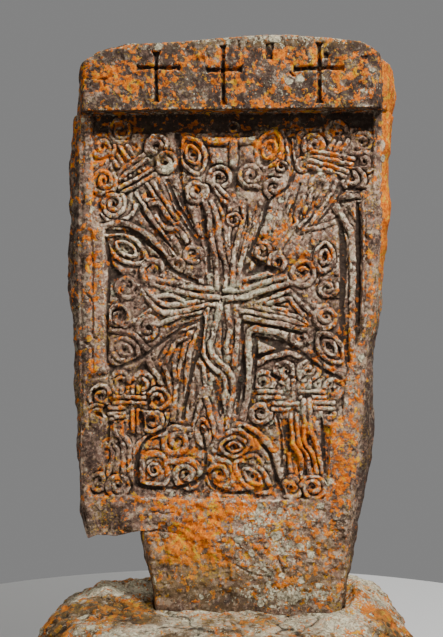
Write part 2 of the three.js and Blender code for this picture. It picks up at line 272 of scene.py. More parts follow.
def stroke(points, width, top=RIB_TOP, moat=MOAT):
    """A rounded rib along a line, running out at its ends. What it crosses is cut back beside it."""
    cells, x, z = window(points, width / 2 + GROUND_SLOPE)
    half = width / 2 * UNEVEN_WIDTH[cells]
    d = distance(points, x, z)
    closed = math.dist(points[0], points[-1]) < 1.0
    past = np.zeros(x.shape) if closed else past_end(points, x, z, d)
    d = np.maximum(d + RAGGED_EDGE[cells], 0)
    here = relief[cells]
    profile = top * UNEVEN_TOP[cells] * np.sqrt(np.clip(1 - (d / half) ** RIB_SHARPNESS, 0, 1))
    profile = here + (profile - here) * np.clip(1 - past / half, 0, 1)
    clear = clearance[cells]
    beside_line = past <= 0
    clear[beside_line] = np.minimum(clear, d - half)[beside_line]
    beside = (d >= half) & (d < half + moat * UNEVEN_MOAT[cells]) & beside_line
    here[beside] = np.minimum(here[beside], MOAT_FLOOR)
    on = d < half
    here[on] = profile[on]


def cut_ground():
    """Cuts the ground down beside the ribs, less in the middle of wide gaps and between close ribs."""
    rise = step_up(0.0, GROUND_SLOPE, clearance * UNEVEN_GROUND + 2.0 * raster_noise(21, 81, 3))
    ground = MOAT_FLOOR + (FIELD_LEVEL + 2.5 * raster_noise(40, 91, 3) - MOAT_FLOOR) * rise
    bare = clearance > 0
    relief[bare] = np.minimum(relief, ground)[bare]
    crowd = blur((relief > NARROW_FLOOR + 2).astype(float), CROWD_REACH)
    between = NARROW_FLOOR * step_up(0.50, 0.70, crowd + 0.06 * raster_noise(50, 97, 2))
    shallow = bare & ~deep
    relief[shallow] = np.maximum(relief, between)[shallow]


def rib(points, width=11.0):
    stroke(smooth_line(points), width + RIB_SWELL)


BAND_WIDTH = 30.0
BAND_RIB_WIDTH = 0.41 * BAND_WIDTH


def band(points):
    """Two ribs with a groove between them."""
    line = smooth_line(points)
    cells, x, z = window(line, BAND_WIDTH)
    d = distance(line, x, z)
    here = relief[cells]
    cut = d < BAND_WIDTH / 2 + MOAT
    here[cut] = np.minimum(here[cut], MOAT_FLOOR)
    for side in (-1, 1):
        stroke(offset_line(line, side * (BAND_WIDTH - BAND_RIB_WIDTH) / 2), BAND_RIB_WIDTH, moat=0.0)


EYE = 6.0
EYE_FLOOR = -4.0


def drill(cx, cz, radius=EYE):
    """A drilled eye."""
    cells, x, z = window([(cx, cz)], 2 * EYE)
    hole = np.hypot(x - cx, z - cz) < radius
    relief[cells][hole] = EYE_FLOOR
    deep[cells][hole] = True


# Scrolls keep to their rim for a share of a turn, then wind in to the innermost radius
SCROLL_SWELL = 1.15
SCROLL_RIM_TURN = 0.45
SCROLL_INNERMOST = 10.0
SCROLL_INNER_SHARE = 0.4
SCROLL_WIDTH_SHARE = 0.45
SCROLL_EYE = 0.85 * EYE
STEPS_A_TURN = 24


def curl(tail, cx, cz, radius, turns, hand, width=11.0):
    """A scroll that winds in from its rim, after a tail that leads to it."""
    start = math.atan2(tail[-1][1] - cz, tail[-1][0] - cx) if tail else 0.0
    radius *= SCROLL_SWELL
    inner = min(SCROLL_INNERMOST, radius * SCROLL_INNER_SHARE)
    steps = int(STEPS_A_TURN * turns)
    line = smooth_line(tail)
    for k in range(steps + 1):
        turn = k / steps * turns
        closing = max(0.0, (turn - SCROLL_RIM_TURN) / (turns - SCROLL_RIM_TURN))
        r = radius + (inner - radius) * closing
        angle = start + hand * turn * 2 * math.pi
        line.append((cx + r * math.cos(angle), cz + r * math.sin(angle)))
    stroke(line, min(width + RIB_SWELL, radius * SCROLL_WIDTH_SHARE))
    drill(cx, cz, SCROLL_EYE)


# An almond leaf's outer edge, rim and inner ring, as shares of its size
LEAF_EDGE = 1.08
LEAF_RIM = 0.94
LEAF_RING = 0.46
LEAF_FLOOR = 3.0
LEAF_RING_WIDTH = 0.85
LEAF_RING_TOP = 0.92 * RIB_TOP
ALMOND_SIDES = 32


def almond(cx, cz, half_length, half_width, tilt, scale):
    turn = math.radians(tilt)
    ring = []
    for k in range(ALMOND_SIDES + 1):
        angle = 2 * math.pi * k / ALMOND_SIDES
        along = math.cos(angle) * half_length * scale
        across = math.sin(angle) * abs(math.sin(angle)) ** 0.5 * half_width * scale
        ring.append((cx + across * math.cos(turn) + along * math.sin(turn),
                     cz - across * math.sin(turn) + along * math.cos(turn)))
    return ring


def leaf(cx, cz, half_length, half_width, tilt, width=12.0):
    """An almond leaf: a rim, a ring inside it and a drilled eye."""
    scales = (LEAF_EDGE, LEAF_RIM, LEAF_RING)
    edge, rim, ring = (almond(cx, cz, half_length, half_width, tilt, scale) for scale in scales)
    cells, x, z = window(edge, 2)
    relief[cells][inside(edge, x, z)] = LEAF_FLOOR
    stroke(rim, width)
    stroke(ring, width * LEAF_RING_WIDTH, LEAF_RING_TOP, moat=0.0)
    drill(cx, cz)


POCKET_SLOPE = 7.0
PAD_ROUNDING = 6.0
PAD_TOP = 0.9 * RIB_TOP


def pocket(points):
    """A place where the carving goes down to the deep ground."""
    cells, x, z = window(points, 2)
    within = inside(points, x, z)
    here = relief[cells]
    sunk = here - here * step_up(0, POCKET_SLOPE, outline_distance(points, x, z))
    here[within] = sunk[within]
    deep[cells][within] = True


def pad(points, top=PAD_TOP):
    """A flat raised patch."""
    cells, x, z = window(points, 4)
    edge = outline_distance(points, x, z)
    within = inside(points, x, z)
    profile = top * np.sqrt(np.clip(1 - (1 - np.clip(edge / PAD_ROUNDING, 0, 1)) ** 3, 0, 1))
    here = relief[cells]
    here[within] = np.maximum(here[within], profile[within])
    clearance[cells][within] = 0.0


def carve_upper_left_cross():
    band([(-318, 1392), (-271, 1327)])
    band([(-246, 1296), (-197, 1222), (-141, 1136), (-98, 1075)])
    band([(-332, 1345), (-284, 1268)])
    rib([(-262, 1230), (-232, 1180), (-190, 1112), (-160, 1062), (-148, 1030)])
    band([(-330, 1262), (-275, 1305), (-228, 1335)])
    band([(-312, 1232), (-258, 1258), (-205, 1292)])
    rib([(-240, 1222), (-228, 1203), (-190, 1205)])
    rib([(-222, 1190), (-190, 1192), (-160, 1150), (-140, 1130), (-128, 1130), (-100, 1082)])
    rib([(-200, 1160), (-170, 1118), (-130, 1116), (-105, 1075)])
    rib([(-175, 1092), (-148, 1050), (-135, 1030)])
    rib([(-150, 1092), (-125, 1052)])
    curl([(-336, 1345)], -363, 1365, 31, 1.75, 1)
    curl([(-292, 1385)], -306, 1413, 30, 1.6, -1)
    curl([(-222, 1345)], -196, 1365, 27, 1.7, -1)
    curl([(-200, 1300)], -172, 1318, 27, 1.7, 1)
    curl([(-330, 1282)], -359, 1261, 33, 1.75, -1)
    curl([(-310, 1215)], -329, 1193, 31, 1.75, -1)
    curl([(-92, 1072), (-66, 1052)], -86, 1040, 24, 1.4, -1)
    curl([(-160, 1030)], -140, 1008, 22, 1.3, 1)


def carve_between_upper_crosses():
    rib([(-167, 1262), (-140, 1200), (-112, 1150), (-64, 1086)], 13)
    rib([(-366, 1167), (-341, 1143), (-305, 1140), (-272, 1160), (-262, 1190)], 10)
    rib([(198, 1395), (206, 1340), (214, 1290)], 22)
    rib([(208, 1240), (180, 1180), (158, 1110)], 14)
    rib([(24, 1180), (22, 1120), (20, 1060), (22, 990)], 11)
    rib([(-4, 1180), (10, 1120), (14, 1060)], 9)
    rib([(-60, 1150), (-56, 1080), (-44, 1010), (-38, 950)], 9)
    rib([(140, 1070), (110, 1040), (84, 990)], 10)
    rib([(60, 960), (110, 972), (170, 985)], 12)
    rib([(-150, 980), (-100, 962), (-56, 958)], 12)


def carve_upper_right_cross():
    curl([(300, 1340)], 278, 1364, 29, 1.7, -1)
    curl([(350, 1372)], 343, 1399, 29, 1.5, 1)
    curl([(392, 1352)], 420, 1372, 26, 1.7, -1)
    curl([(398, 1300)], 425, 1314, 29, 1.7, 1)
    curl([(362, 1275)], 390, 1259, 33, 1.7, -1)
    curl([(268, 1300)], 246, 1303, 19, 1.3, 1)
    curl([(300, 1285)], 300, 1243, 28, 1.3, 1)
    band([(371, 1385), (330, 1310)])
    band([(345, 1375), (305, 1300)])
    band([(268, 1335), (330, 1330), (396, 1312)])
    band([(262, 1310), (318, 1296), (376, 1275)])
    band([(340, 1262), (282, 1165), (238, 1110)])
    band([(282, 1230), (240, 1175), (196, 1100), (150, 1040)])
    rib([(252, 1215), (225, 1165), (225, 1135)])
    rib([(268, 1215), (245, 1160)])
    curl([(112, 1072)], 122, 1046, 22, 1.2, -1)
    curl([(178, 1048)], 168, 1013, 24, 1.5, 1)


def carve_great_cross_top():
    rib([(-44, 1381), (20, 1377), (52, 1377), (102, 1380)], 20)
    rib([(36, 1372), (36, 1305)], 24)
    curl([], 37, 1418, 14, 1.0, 1, 8)
    pad([(-32, 1346), (4, 1346), (4, 1310), (-32, 1310)])
    pad([(62, 1352), (98, 1352), (98, 1318), (62, 1318)])
    leaf(-88, 1338, 62, 40, -20)
    leaf(143, 1352, 62, 40, 16)
    curl([(-48, 1250)], -77, 1229, 29, 1.7, -1)
    curl([(14, 1188), (-12, 1225), (-34, 1262)], -6, 1268, 30, 1.5, -1)
    curl([(118, 1235), (104, 1244)], 88, 1275, 29, 1.5, -1)
    curl([(182, 1262)], 158, 1240, 26, 1.5, -1)
    curl([], 181, 1299, 13, 1.0, 1, 8)
    rib([(-14, 1247), (3, 1225), (22, 1210)])
    rib([(-52, 1197), (-40, 1160), (-35, 1110), (-30, 1070), (-22, 1035), (-14, 990), (-14, 930)], 13)
    rib([(-32, 1202), (-22, 1172), (-12, 1135), (-9, 1097), (-4, 1060), (3, 1035), (13, 1000),
         (10, 935)], 13)
    rib([(63, 1185), (66, 1147), (53, 1105), (46, 1070), (34, 1020), (32, 935)], 12)
    rib([(92, 1185), (84, 1120), (70, 1060), (55, 1000), (50, 935)], 13)
    rib([(118, 1195), (104, 1150), (90, 1100), (78, 1060)], 11)
    pad([(178, 1215), (148, 1215), (112, 1100), (128, 1085), (150, 1110)])
    pad([(-98, 1185), (-78, 1185), (-62, 1095), (-74, 1090)])
    curl([], 35, 1140, 18, 1.2, 1, 9)


def carve_left_arm():
    leaf(-290, 1056, 76, 40, -58)
    rib([(-368, 1122), (-330, 1134), (-285, 1130), (-240, 1108), (-205, 1080), (-172, 1034)], 13)
    curl([(-235, 925), (-262, 945)], -286, 943, 29, 1.6, -1)
    curl([(-6, 908), (-52, 912), (-110, 922), (-170, 938), (-215, 955)], -205, 985, 31, 1.4, -1, 13)
    rib([(-20, 932), (-52, 936), (-100, 942), (-160, 955), (-200, 965)], 14)
    curl([(-216, 872), (-250, 845), (-290, 822)], -309, 852, 30, 1.55, -1)
    curl([(-60, 866), (-95, 862), (-140, 848), (-185, 828)], -224, 814, 30, 1.6, 1)
    rib([(-245, 930), (-205, 880), (-165, 862), (-100, 872), (-56, 884), (-18, 886)], 12)
    rib([(-233, 940), (-198, 902), (-170, 886), (-110, 890), (-66, 900)], 12)
    rib([(-196, 911), (-155, 914), (-112, 897)], 10)
    rib([(-345, 812), (-270, 797), (-243, 768), (-205, 742)], 14)
    leaf(-296, 750, 50, 36, -62)


def carve_right_arm():
    rib([(2, 905), (62, 910), (136, 930), (200, 949)], 14)
    rib([(2, 928), (60, 930), (140, 955), (195, 970)], 13)
    curl([(205, 950), (222, 950)], 240, 981, 32, 1.7, 1, 12)
    rib([(98, 887), (136, 900), (193, 923), (210, 922), (238, 890), (272, 858)], 11)
    rib([(98, 883), (150, 868), (205, 855), (232, 846), (262, 822)], 11)
    rib([(132, 888), (200, 905), (222, 880), (250, 848)], 11)
    rib([(150, 880), (200, 868)], 9)
    rib([(52, 868), (90, 862), (186, 846), (240, 825), (266, 800), (268, 780)], 12)
    rib([(65, 848), (136, 836), (207, 820), (256, 800)], 13)
    leaf(308, 1028, 48, 30, 8)
    curl([(345, 965), (300, 965)], 316, 937, 26, 1.3, -1)
    curl([(285, 880), (318, 885)], 314, 850, 30, 1.7, 1)
    curl([(268, 775)], 239, 787, 25, 1.3, 1)
    leaf(325, 758, 58, 34, -38)


def carve_right_frame():
    rib([(60, 540), (76, 610), (82, 700), (86, 806), (157, 805), (196, 792)], 16)
    rib([(100, 706), (145, 727), (202, 741), (236, 728)], 12)
    pad([(105, 780), (165, 752), (108, 738)])
    rib([(338, 1210), (420, 1212)], 16)
    rib([(340, 1182), (370, 1130), (390, 1080), (392, 900), (387, 700)], 17)
    rib([(259, 1112), (310, 1124), (350, 1138)], 11)
    pad([(374, 1188), (422, 1188), (404, 1132)], 20.0)


def carve_stem():
    rib([(-34, 896), (-50, 848), (-60, 795), (-57, 745), (-45, 715), (-20, 690), (-2, 680), (8, 660),
         (12, 635), (5, 600), (0, 560)], 12)
    rib([(-8, 890), (-15, 842), (-23, 817), (-28, 787), (-35, 760), (-27, 737), (-10, 715), (10, 697),
         (28, 677), (35, 655), (35, 625), (28, 588), (20, 550), (17, 512)], 14)
    rib([(16, 886), (22, 840), (25, 817), (18, 787), (12, 760), (20, 738)], 12)
    rib([(42, 886), (47, 842), (47, 800), (45, 760), (40, 725), (38, 700)], 12)
    rib([(-78, 825), (-92, 765), (-102, 720), (-104, 640), (-112, 570)], 16)
    rib([(-66, 715), (-54, 695), (-50, 640)], 10)
    rib([(-90, 668), (-90, 620), (-97, 580)], 12)
    rib([(-50, 610), (-38, 577), (-35, 550), (-25, 522), (-28, 495)], 12)
    rib([(-62, 592), (-75, 550), (-87, 515), (-97, 485)], 12)


def carve_beside_stem():
    rib([(-91, 818), (-113, 755), (-129, 692), (-139, 635), (-151, 534)], 14)
    rib([(-82, 827), (-120, 812), (-154, 796), (-183, 761), (-204, 726)], 13)
    rib([(-104, 786), (-139, 770), (-158, 736), (-172, 712)], 11)
    rib([(-224, 720), (-205, 685), (-183, 641), (-176, 600)], 14)
    rib([(-176, 700), (-162, 666), (-156, 622), (-160, 580)], 11)
    rib([(-146, 704), (-140, 666)], 10)
    rib([(-165, 560), (-172, 530), (-186, 512)], 12)


def carve_lower_left_cross():
    curl([(-290, 630)], -307, 654, 27, 1.6, -1)
    curl([(-262, 628)], -242, 650, 29, 1.6, 1)
    curl([(-332, 590)], -366, 609, 31, 1.7, -1)
    curl([(-225, 592)], -193, 599, 30, 1.6, -1)
    curl([(-345, 565)], -378, 550, 28, 1.6, 1)
    curl([(-245, 560), (-196, 562)], -212, 536, 28, 1.5, -1)
    band([(-262, 640), (-262, 566)])
    band([(-296, 636), (-296, 596)])
    band([(-330, 600), (-230, 598)])
    band([(-345, 566), (-296, 566)])
    band([(-262, 566), (-262, 500)])
    rib([(-325, 548), (-296, 548)], 11)
    rib([(-322, 535), (-322, 500), (-300, 470), (-300, 380)], 11)
    rib([(-306, 530), (-304, 495), (-280, 462), (-282, 380)], 11)
    rib([(-345, 460), (-330, 440), (-345, 380), (-348, 345)], 11)
    rib([(-328, 460), (-316, 440), (-322, 380)], 11)
    curl([(-348, 345)], -374, 352, 24, 1.3, -1)
    curl([(-300, 372)], -317, 338, 29, 1.75, -1)


def carve_lower_right_cross():
    curl([(220, 665)], 192, 684, 28, 1.6, -1)
    curl([(238, 660), (234, 680)], 263, 687, 28, 1.4, -1)
    curl([(150, 624)], 125, 652, 28, 1.4, 1)
    curl([(305, 612)], 332, 634, 27, 1.6, 1)
    curl([(150, 588)], 118, 563, 27, 1.5, -1)
    curl([(290, 590)], 323, 560, 31, 1.7, -1)
    band([(207, 658), (207, 588)])
    band([(254, 660), (254, 632)])
    band([(110, 617), (190, 616)])
    band([(236, 616), (310, 616)])
    band([(150, 582), (232, 580)])
    band([(272, 585), (340, 585)])
    band([(256, 600), (256, 500)])
    band([(218, 560), (218, 500)])
    rib([(211, 500), (214, 465), (232, 440), (240, 400), (240, 345)], 11)
    rib([(226, 500), (234, 470), (255, 440), (262, 400), (266, 365)], 11)
    rib([(248, 500), (250, 470), (272, 440), (282, 400), (286, 360)], 11)
    rib([(270, 500), (284, 470), (294, 430), (300, 380)], 11)
    rib([(202, 440), (206, 400), (208, 340)], 11)
    curl([(208, 345)], 208, 338, 27, 1.2, -1)
    curl([(244, 345)], 274, 337, 31, 1.75, -1)


def carve_foot_scrolls():
    rib([(-265, 344), (-274, 382), (-265, 433), (-246, 470), (-202, 493), (-174, 503)], 15)
    curl([(-88, 512), (-118, 506)], -137, 474, 35, 1.5, 1, 14)
    rib([(-240, 360), (-238, 420), (-206, 436), (-172, 424), (-168, 352), (-232, 344), (-240, 362)], 13)
    curl([], -204, 386, 17, 1.2, 1, 12)
    curl([(-168, 412), (-120, 416)], -108, 374, 37, 1.6, -1, 15)
    curl([(-58, 432), (-28, 420)], -8, 376, 39, 1.7, -1, 15)
    leaf(-56, 500, 44, 21, -4)
    leaf(38, 458, 46, 31, 90)
    rib([(13, 497), (51, 509), (84, 490), (86, 462)], 13)
    leaf(93, 368, 72, 37, -48, 14)
    rib([(45, 529), (95, 509), (139, 470), (165, 420), (180, 350)], 18)
    rib([(66, 424), (100, 430), (124, 404)], 10)


# Where the carving goes down to the deep ground
POCKETS = [
    [(-396, 1475), (-396, 1408), (-330, 1404), (-240, 1398), (-140, 1404), (-60, 1398), (90, 1400),
     (150, 1410), (230, 1408), (330, 1420), (455, 1405), (458, 1475)],
    [(-146, 1408), (-118, 1408), (-124, 1330), (-112, 1285), (-146, 1270)],
    [(-178, 1265), (-160, 1262), (-118, 1165), (-64, 1078), (-88, 1080), (-150, 1180)],
    [(-136, 1230), (-118, 1224), (-66, 1105), (-60, 1085), (-78, 1090), (-110, 1150)],
    [(30, 1345), (52, 1345), (56, 1260), (48, 1222), (34, 1222), (30, 1260)],
    [(-70, 1198), (-52, 1198), (-44, 1130), (-40, 1070), (-56, 1064)],
    [(70, 1014), (176, 1010), (196, 982), (150, 978), (90, 984), (60, 992)],
    [(-350, 1120), (-300, 1118), (-240, 1096), (-196, 1052), (-190, 1010), (-160, 1010), (-176, 1046),
     (-206, 1086), (-246, 1112), (-300, 1126)],
    [(-350, 1085), (-337, 1035), (-322, 1002), (-299, 984), (-308, 960), (-326, 944), (-350, 944)],
    [(342, 1160), (360, 1140), (373, 1060), (373, 760), (350, 760), (350, 1000)],
    [(396, 1200), (419, 1195), (419, 800), (392, 740), (396, 1000)],
    [(212, 1300), (232, 1290), (214, 1230), (180, 1180), (176, 1200), (206, 1250)],
    [(352, 1240), (440, 1240), (452, 1262), (400, 1226), (352, 1226)],
    [(128, 1220), (186, 1216), (186, 1208), (128, 1210)],
    [(-352, 905), (-332, 895), (-330, 850), (-318, 810), (-330, 786), (-350, 786)],
    [(-348, 730), (-330, 700), (-270, 690), (-230, 720), (-200, 700), (-260, 676), (-346, 676)],
    [(92, 788), (200, 782), (196, 752), (150, 722), (100, 716), (90, 740)],
    [(-34, 655), (-10, 668), (8, 640), (6, 560), (-4, 528), (-16, 560), (-24, 600)],
    [(-104, 800), (-92, 800), (-110, 700), (-122, 600), (-132, 600), (-120, 700)],
    [(62, 800), (74, 800), (70, 620), (56, 540), (48, 540), (58, 640)],
    [(-238, 560), (-200, 566), (-176, 520), (-190, 500), (-236, 510)],
    [(170, 548), (208, 552), (208, 450), (202, 370), (186, 350), (188, 450)],
    [(294, 540), (316, 524), (314, 440), (306, 390), (296, 400), (296, 470)],
    [(136, 462), (150, 440), (172, 350), (160, 346), (146, 400)],
    [(-270, 500), (-250, 480), (-236, 400), (-252, 330), (-262, 400)],
    [(-250, 352), (-60, 330), (140, 308), (180, 306), (150, 318), (60, 322), (-60, 318), (-250, 330)],
]
# Deep dark cuts between the main forms: line and width
GOUGES = [
    ([(-351, 1085), (-341, 1015), (-342, 941), (-349, 883), (-350, 794), (-350, 712)], 15),
    ([(-344, 704), (-305, 699), (-232, 736), (-165, 785), (-114, 820), (-72, 838)], 14),
    ([(-364, 1108), (-320, 1108), (-274, 1101), (-244, 1090), (-214, 1064), (-184, 1036), (-150, 990),
      (-80, 958)], 16),
    ([(-165, 1262), (-136, 1191), (-99, 1132), (-67, 1087)], 13),
    ([(-249, 1176), (-210, 1125), (-165, 1074), (-136, 1037)], 10),
    ([(-126, 1382), (-127, 1290), (-114, 1210)], 12),
    ([(202, 1382), (212, 1308), (196, 1238), (143, 1198), (121, 1132), (99, 1073), (80, 1037)], 12),
    ([(80, 1037), (121, 1003), (168, 986)], 20),
    ([(-63, 1191), (-55, 1118), (-41, 1044), (-38, 985)], 11),
    ([(238, 1250), (216, 1190), (200, 1154)], 9),
    ([(356, 1222), (312, 1162), (282, 1125)], 11),
    ([(356, 1230), (429, 1230)], 9),
    ([(346, 1146), (364, 1088), (368, 985), (364, 912), (360, 883), (370, 809), (376, 721)], 18),
    ([(406, 1186), (415, 1088), (417, 985), (413, 897), (403, 810)], 14),
    ([(297, 905), (356, 903)], 9),
    ([(62, 836), (121, 825), (194, 812), (240, 800)], 10),
    ([(60, 838), (64, 736), (54, 648), (46, 560)], 13),
    ([(100, 789), (165, 777), (224, 755), (282, 706), (356, 664)], 12),
    ([(104, 787), (102, 706), (92, 589)], 11),
    ([(-58, 846), (-66, 765), (-85, 706), (-96, 655), (-110, 600), (-118, 545)], 16),
    ([(3, 838), (0, 750), (6, 710)], 8),
    ([(-66, 735), (-42, 697), (-12, 668), (-6, 618), (2, 560)], 10),
    ([(-261, 341), (-202, 332), (-121, 337), (-70, 356), (-46, 380), (-26, 341), (33, 318), (106, 326),
      (170, 342)], 13),
    ([(62, 518), (106, 486), (138, 442), (165, 369), (188, 320)], 13),
    ([(-63, 515), (-50, 442), (-55, 376)], 11),
    ([(-173, 508), (-232, 474), (-259, 413), (-262, 350)], 13),
    ([(165, 552), (176, 501), (180, 440), (178, 400)], 11),
    ([(297, 545), (305, 457), (308, 400)], 11),
    ([(-246, 554), (-242, 518)], 20),
    ([(-342, 530), (-346, 471)], 12),
    ([(148, 678), (170, 662)], 14),
]
GOUGE_SWELL = 1.2
GOUGE_BANK = 0.45
GOUGE_BELOW = 1.0
GOUGE_DARK = 0.2


def gouge(points, width):
    """Cuts a groove down to below the deep ground, and marks its middle for painted shade."""
    line = smooth_line(points)
    cells, x, z = window(line, width)
    share = distance(line, x, z) / (GOUGE_SWELL * width / 2 * UNEVEN_WIDTH[cells])
    cut = np.clip(1 - share, 0, 1)
    relief[cells] = np.minimum(relief[cells], RIB_TOP * (1 - step_up(0.0, GOUGE_BANK, cut)) - GOUGE_BELOW)
    deep[cells][cut > GOUGE_DARK] = True


for outline in POCKETS:
    pocket(outline)
carve_between_upper_crosses()
carve_upper_left_cross()
carve_upper_right_cross()
carve_right_frame()
carve_stem()
carve_beside_stem()
carve_foot_scrolls()
carve_lower_left_cross()
carve_lower_right_cross()
carve_left_arm()
carve_right_arm()
carve_great_cross_top()
cut_ground()
for points, width in GOUGES:
    gouge(points, width)

# The sunken field's outline, and the marks on the border and foot round it: line, width and depth
FIELD = [
    (-396, 1475), (-396, 1130), (-358, 1112), (-356, 908), (-357, 800), (-355, 690), (-410, 676),
    (-408, 560), (-362, 540), (-362, 400), (-404, 372), (-402, 318), (-392, 306), (-120, 300), (120, 298),
    (306, 302), (318, 330), (330, 520), (366, 540), (370, 640), (384, 700),
    (420, 800), (422, 1190), (455, 1222), (458, 1475),
]
BORDER_GROOVES = [
    ([(-394, 1105), (-391, 1010), (-393, 925)], 10, 10),
    ([(-412, 921), (-393, 892), (-392, 798), (-380, 785)], 10, 9),
    ([(-415, 770), (-393, 753), (-392, 690)], 10, 9),
    ([(-352, 1000), (-358, 960), (-346, 915)], 10, 9),
    ([(-356, 540), (-358, 440), (-350, 380)], 11, 11),
    ([(-412, 640), (-406, 560), (-400, 520)], 9, 8),
    ([(300, 690), (345, 672), (368, 650)], 11, 10),
    ([(428, 1190), (430, 1060), (426, 900), (420, 800)], 7, 6),
    ([(430, 1094), (438, 1082)], 11, 9),
    ([(432, 1022), (440, 1008)], 12, 10),
    ([(-300, 205), (-246, 200), (-190, 204), (-112, 196)], 9, 9),
    ([(-216, 262), (-170, 257), (-146, 262)], 7, 7),
    ([(170, 130), (177, 108), (186, 84)], 9, 10),
    ([(-178, 170), (-168, 120), (-172, 60)], 18, 5),
    ([(40, 108), (96, 78), (150, 70)], 7, 7),
    ([(392, 240), (386, 170), (372, 110)], 9, 9),
]
# Worn places of the carving: middle, half sizes, strength
WORN = [
    (-5, 955, 80, 50, 0.55), (300, 1262, 62, 52, 0.85), (326, 1318, 62, 40, 0.75), (150, 1130, 60, 70, 0.45),
    (90, 960, 70, 60, 0.5), (338, 1110, 60, 70, 0.5), (-300, 760, 62, 56, 0.7), (125, 652, 34, 30, 0.45),
    (-376, 352, 34, 26, 0.55), (246, 1303, 26, 24, 0.5), (300, 1370, 60, 50, 0.3), (330, 930, 50, 90, 0.35),
    (-10, 1080, 60, 90, 0.25), (10, 880, 50, 40, 0.3), (-95, 640, 40, 80, 0.35), (130, 430, 60, 90, 0.3),
]
# How high relief has to be to count as a rib, and how deep each kind of damage goes
ON_RIB = 6.0
DENT_DEPTH = 2.6
CHIP_DEPTH = 7.0
NICK_DEPTH = 4.0
FLAKE_DEPTH = 3.2
FOOT_PIT_DEPTH = 4.5
# Worn ribs keep this share of their height, over a raised ground
WORN_SHARE = 0.72
WORN_GROUND = 1.5
# The field's edge falls between these distances from its outline
FIELD_EDGE_START = -1.0
FIELD_EDGE_END = 7.0


def wear_carving(broad, small, worn):
    """The ribs as they are now: rubbed, softened in the worn places, chipped and nicked."""
    dents = DENT_DEPTH * np.clip(small, 0, 1) * (relief > ON_RIB)
    carved = relief * (1 - 0.12 * np.clip(broad, -1, 1)) - dents
    carved = carved * (1 - worn) + (blur(carved, 5) * WORN_SHARE + WORN_GROUND) * worn
    carved = 0.5 * carved + 0.5 * blur(carved, 1)
    carved -= patches(24, 41, 3, 0.42, 0.8) * (carved > ON_RIB) * CHIP_DEPTH
    carved -= patches(9, 47, 2, 0.30, 0.75) * (carved > ON_RIB) * NICK_DEPTH
    return carved


def finish_relief():
    """Sets the worn field into the rough face; returns heights over the face plane and the field's share."""
    broad = raster_noise(95, 11, 3)
    worn = np.maximum(zones(WORN, grid_x, grid_z), 0.5 * patches(120, 13, 3, 0.1, 0.9))
    small = raster_noise(17, 23, 3)
    fine = raster_noise(5.5, 31, 2)
    carved = wear_carving(broad, small, worn)
    ground = 1.9 * small + 2.0 * fine + 1.0 * broad
    edge = outline_distance(FIELD, grid_x, grid_z) + 1.8 * small
    sink = np.where(inside(FIELD, grid_x, grid_z), step_up(FIELD_EDGE_START, FIELD_EDGE_END, edge), 0.0)
    face = 2.4 * small + 1.4 * fine + 1.8 * broad
    # Below the field the face is rougher, in layers
    foot = step_up(FIELD_BOTTOM + 10, FIELD_BOTTOM - 30, grid_z)
    lumps = raster_noise(46, 53, 4)
    layers = rough(flat_points * (0.22, 1, 1), 15, 55, 3).reshape(ROWS, COLUMNS)
    ridges = 0.4 - np.abs(raster_noise(90, 57, 4))
    face += foot * (5.0 * lumps + 6.0 * ridges + 2.4 * layers)
    face -= foot * FOOT_PIT_DEPTH * patches(19, 58, 2, 0.25, 0.7)
    face -= FLAKE_DEPTH * patches(30, 59, 3, 0.25, 0.75)
    for points, width, depth in BORDER_GROOVES:
        line = smooth_line(points)
        cells, x, z = window(line, width)
        share = distance(line, x, z) / (width / 2)
        face[cells] -= depth * np.sqrt(np.clip(1 - share ** 2, 0, 1))
    surface = face * (1 - sink) + (carved + ground * 0.8 - FIELD_DEPTH) * sink
    return surface, sink


front, field_share = finish_relief()

# The cornice's own front, with its three cut crosses
CUT_SLOPE = 3.0
CROSS_DEPTH = 15.0
CROSS_HALF_WIDTH = 6.8
CROSS_TIP = 14.0
CROSS_ARM_TIP = 11.0
CROSS_SERIF = 15.0
# Each cross: its middle, its head, arms and foot as shares of the cornice's height, and both ends of its arms
CUT_CROSSES = [
    (-190, 0.80, 0.575, 0.11, -248, -119),
    (9, 0.87, 0.53, 0.065, -44, 67),
    (291, 0.885, 0.535, 0.065, 215, 366),
]
# Marks beside the left cross, then pits: outline and depth
MARKS = [
    ([(-408, 1553), (-335, 1553), (-335, 1562), (-408, 1562)], 5),
    ([(-394, 1532), (-386, 1532), (-386, 1560), (-394, 1560)], 5),
    ([(-349, 1528), (-341, 1528), (-341, 1560), (-349, 1560)], 5),
    ([(134, 1606), (156, 1604), (160, 1656), (132, 1654)], 11),
    ([(302, 1608), (318, 1606), (322, 1622), (306, 1628)], 9),
    ([(411, 1602), (432, 1600), (436, 1612), (414, 1618)], 8),
    ([(200, 1568), (214, 1552), (224, 1556), (208, 1574)], 9),
    ([(50, 1634), (62, 1632), (60, 1664), (52, 1666)], 7),
    ([(72, 1630), (84, 1634), (82, 1662), (74, 1658)], 7),
    ([(244, 1640), (252, 1642), (258, 1670), (248, 1672)], 6),
    ([(-60, 1600), (-46, 1596), (-42, 1612), (-56, 1616)], 6),
    ([(-300, 1612), (-286, 1608), (-280, 1620), (-296, 1626)], 6),
]


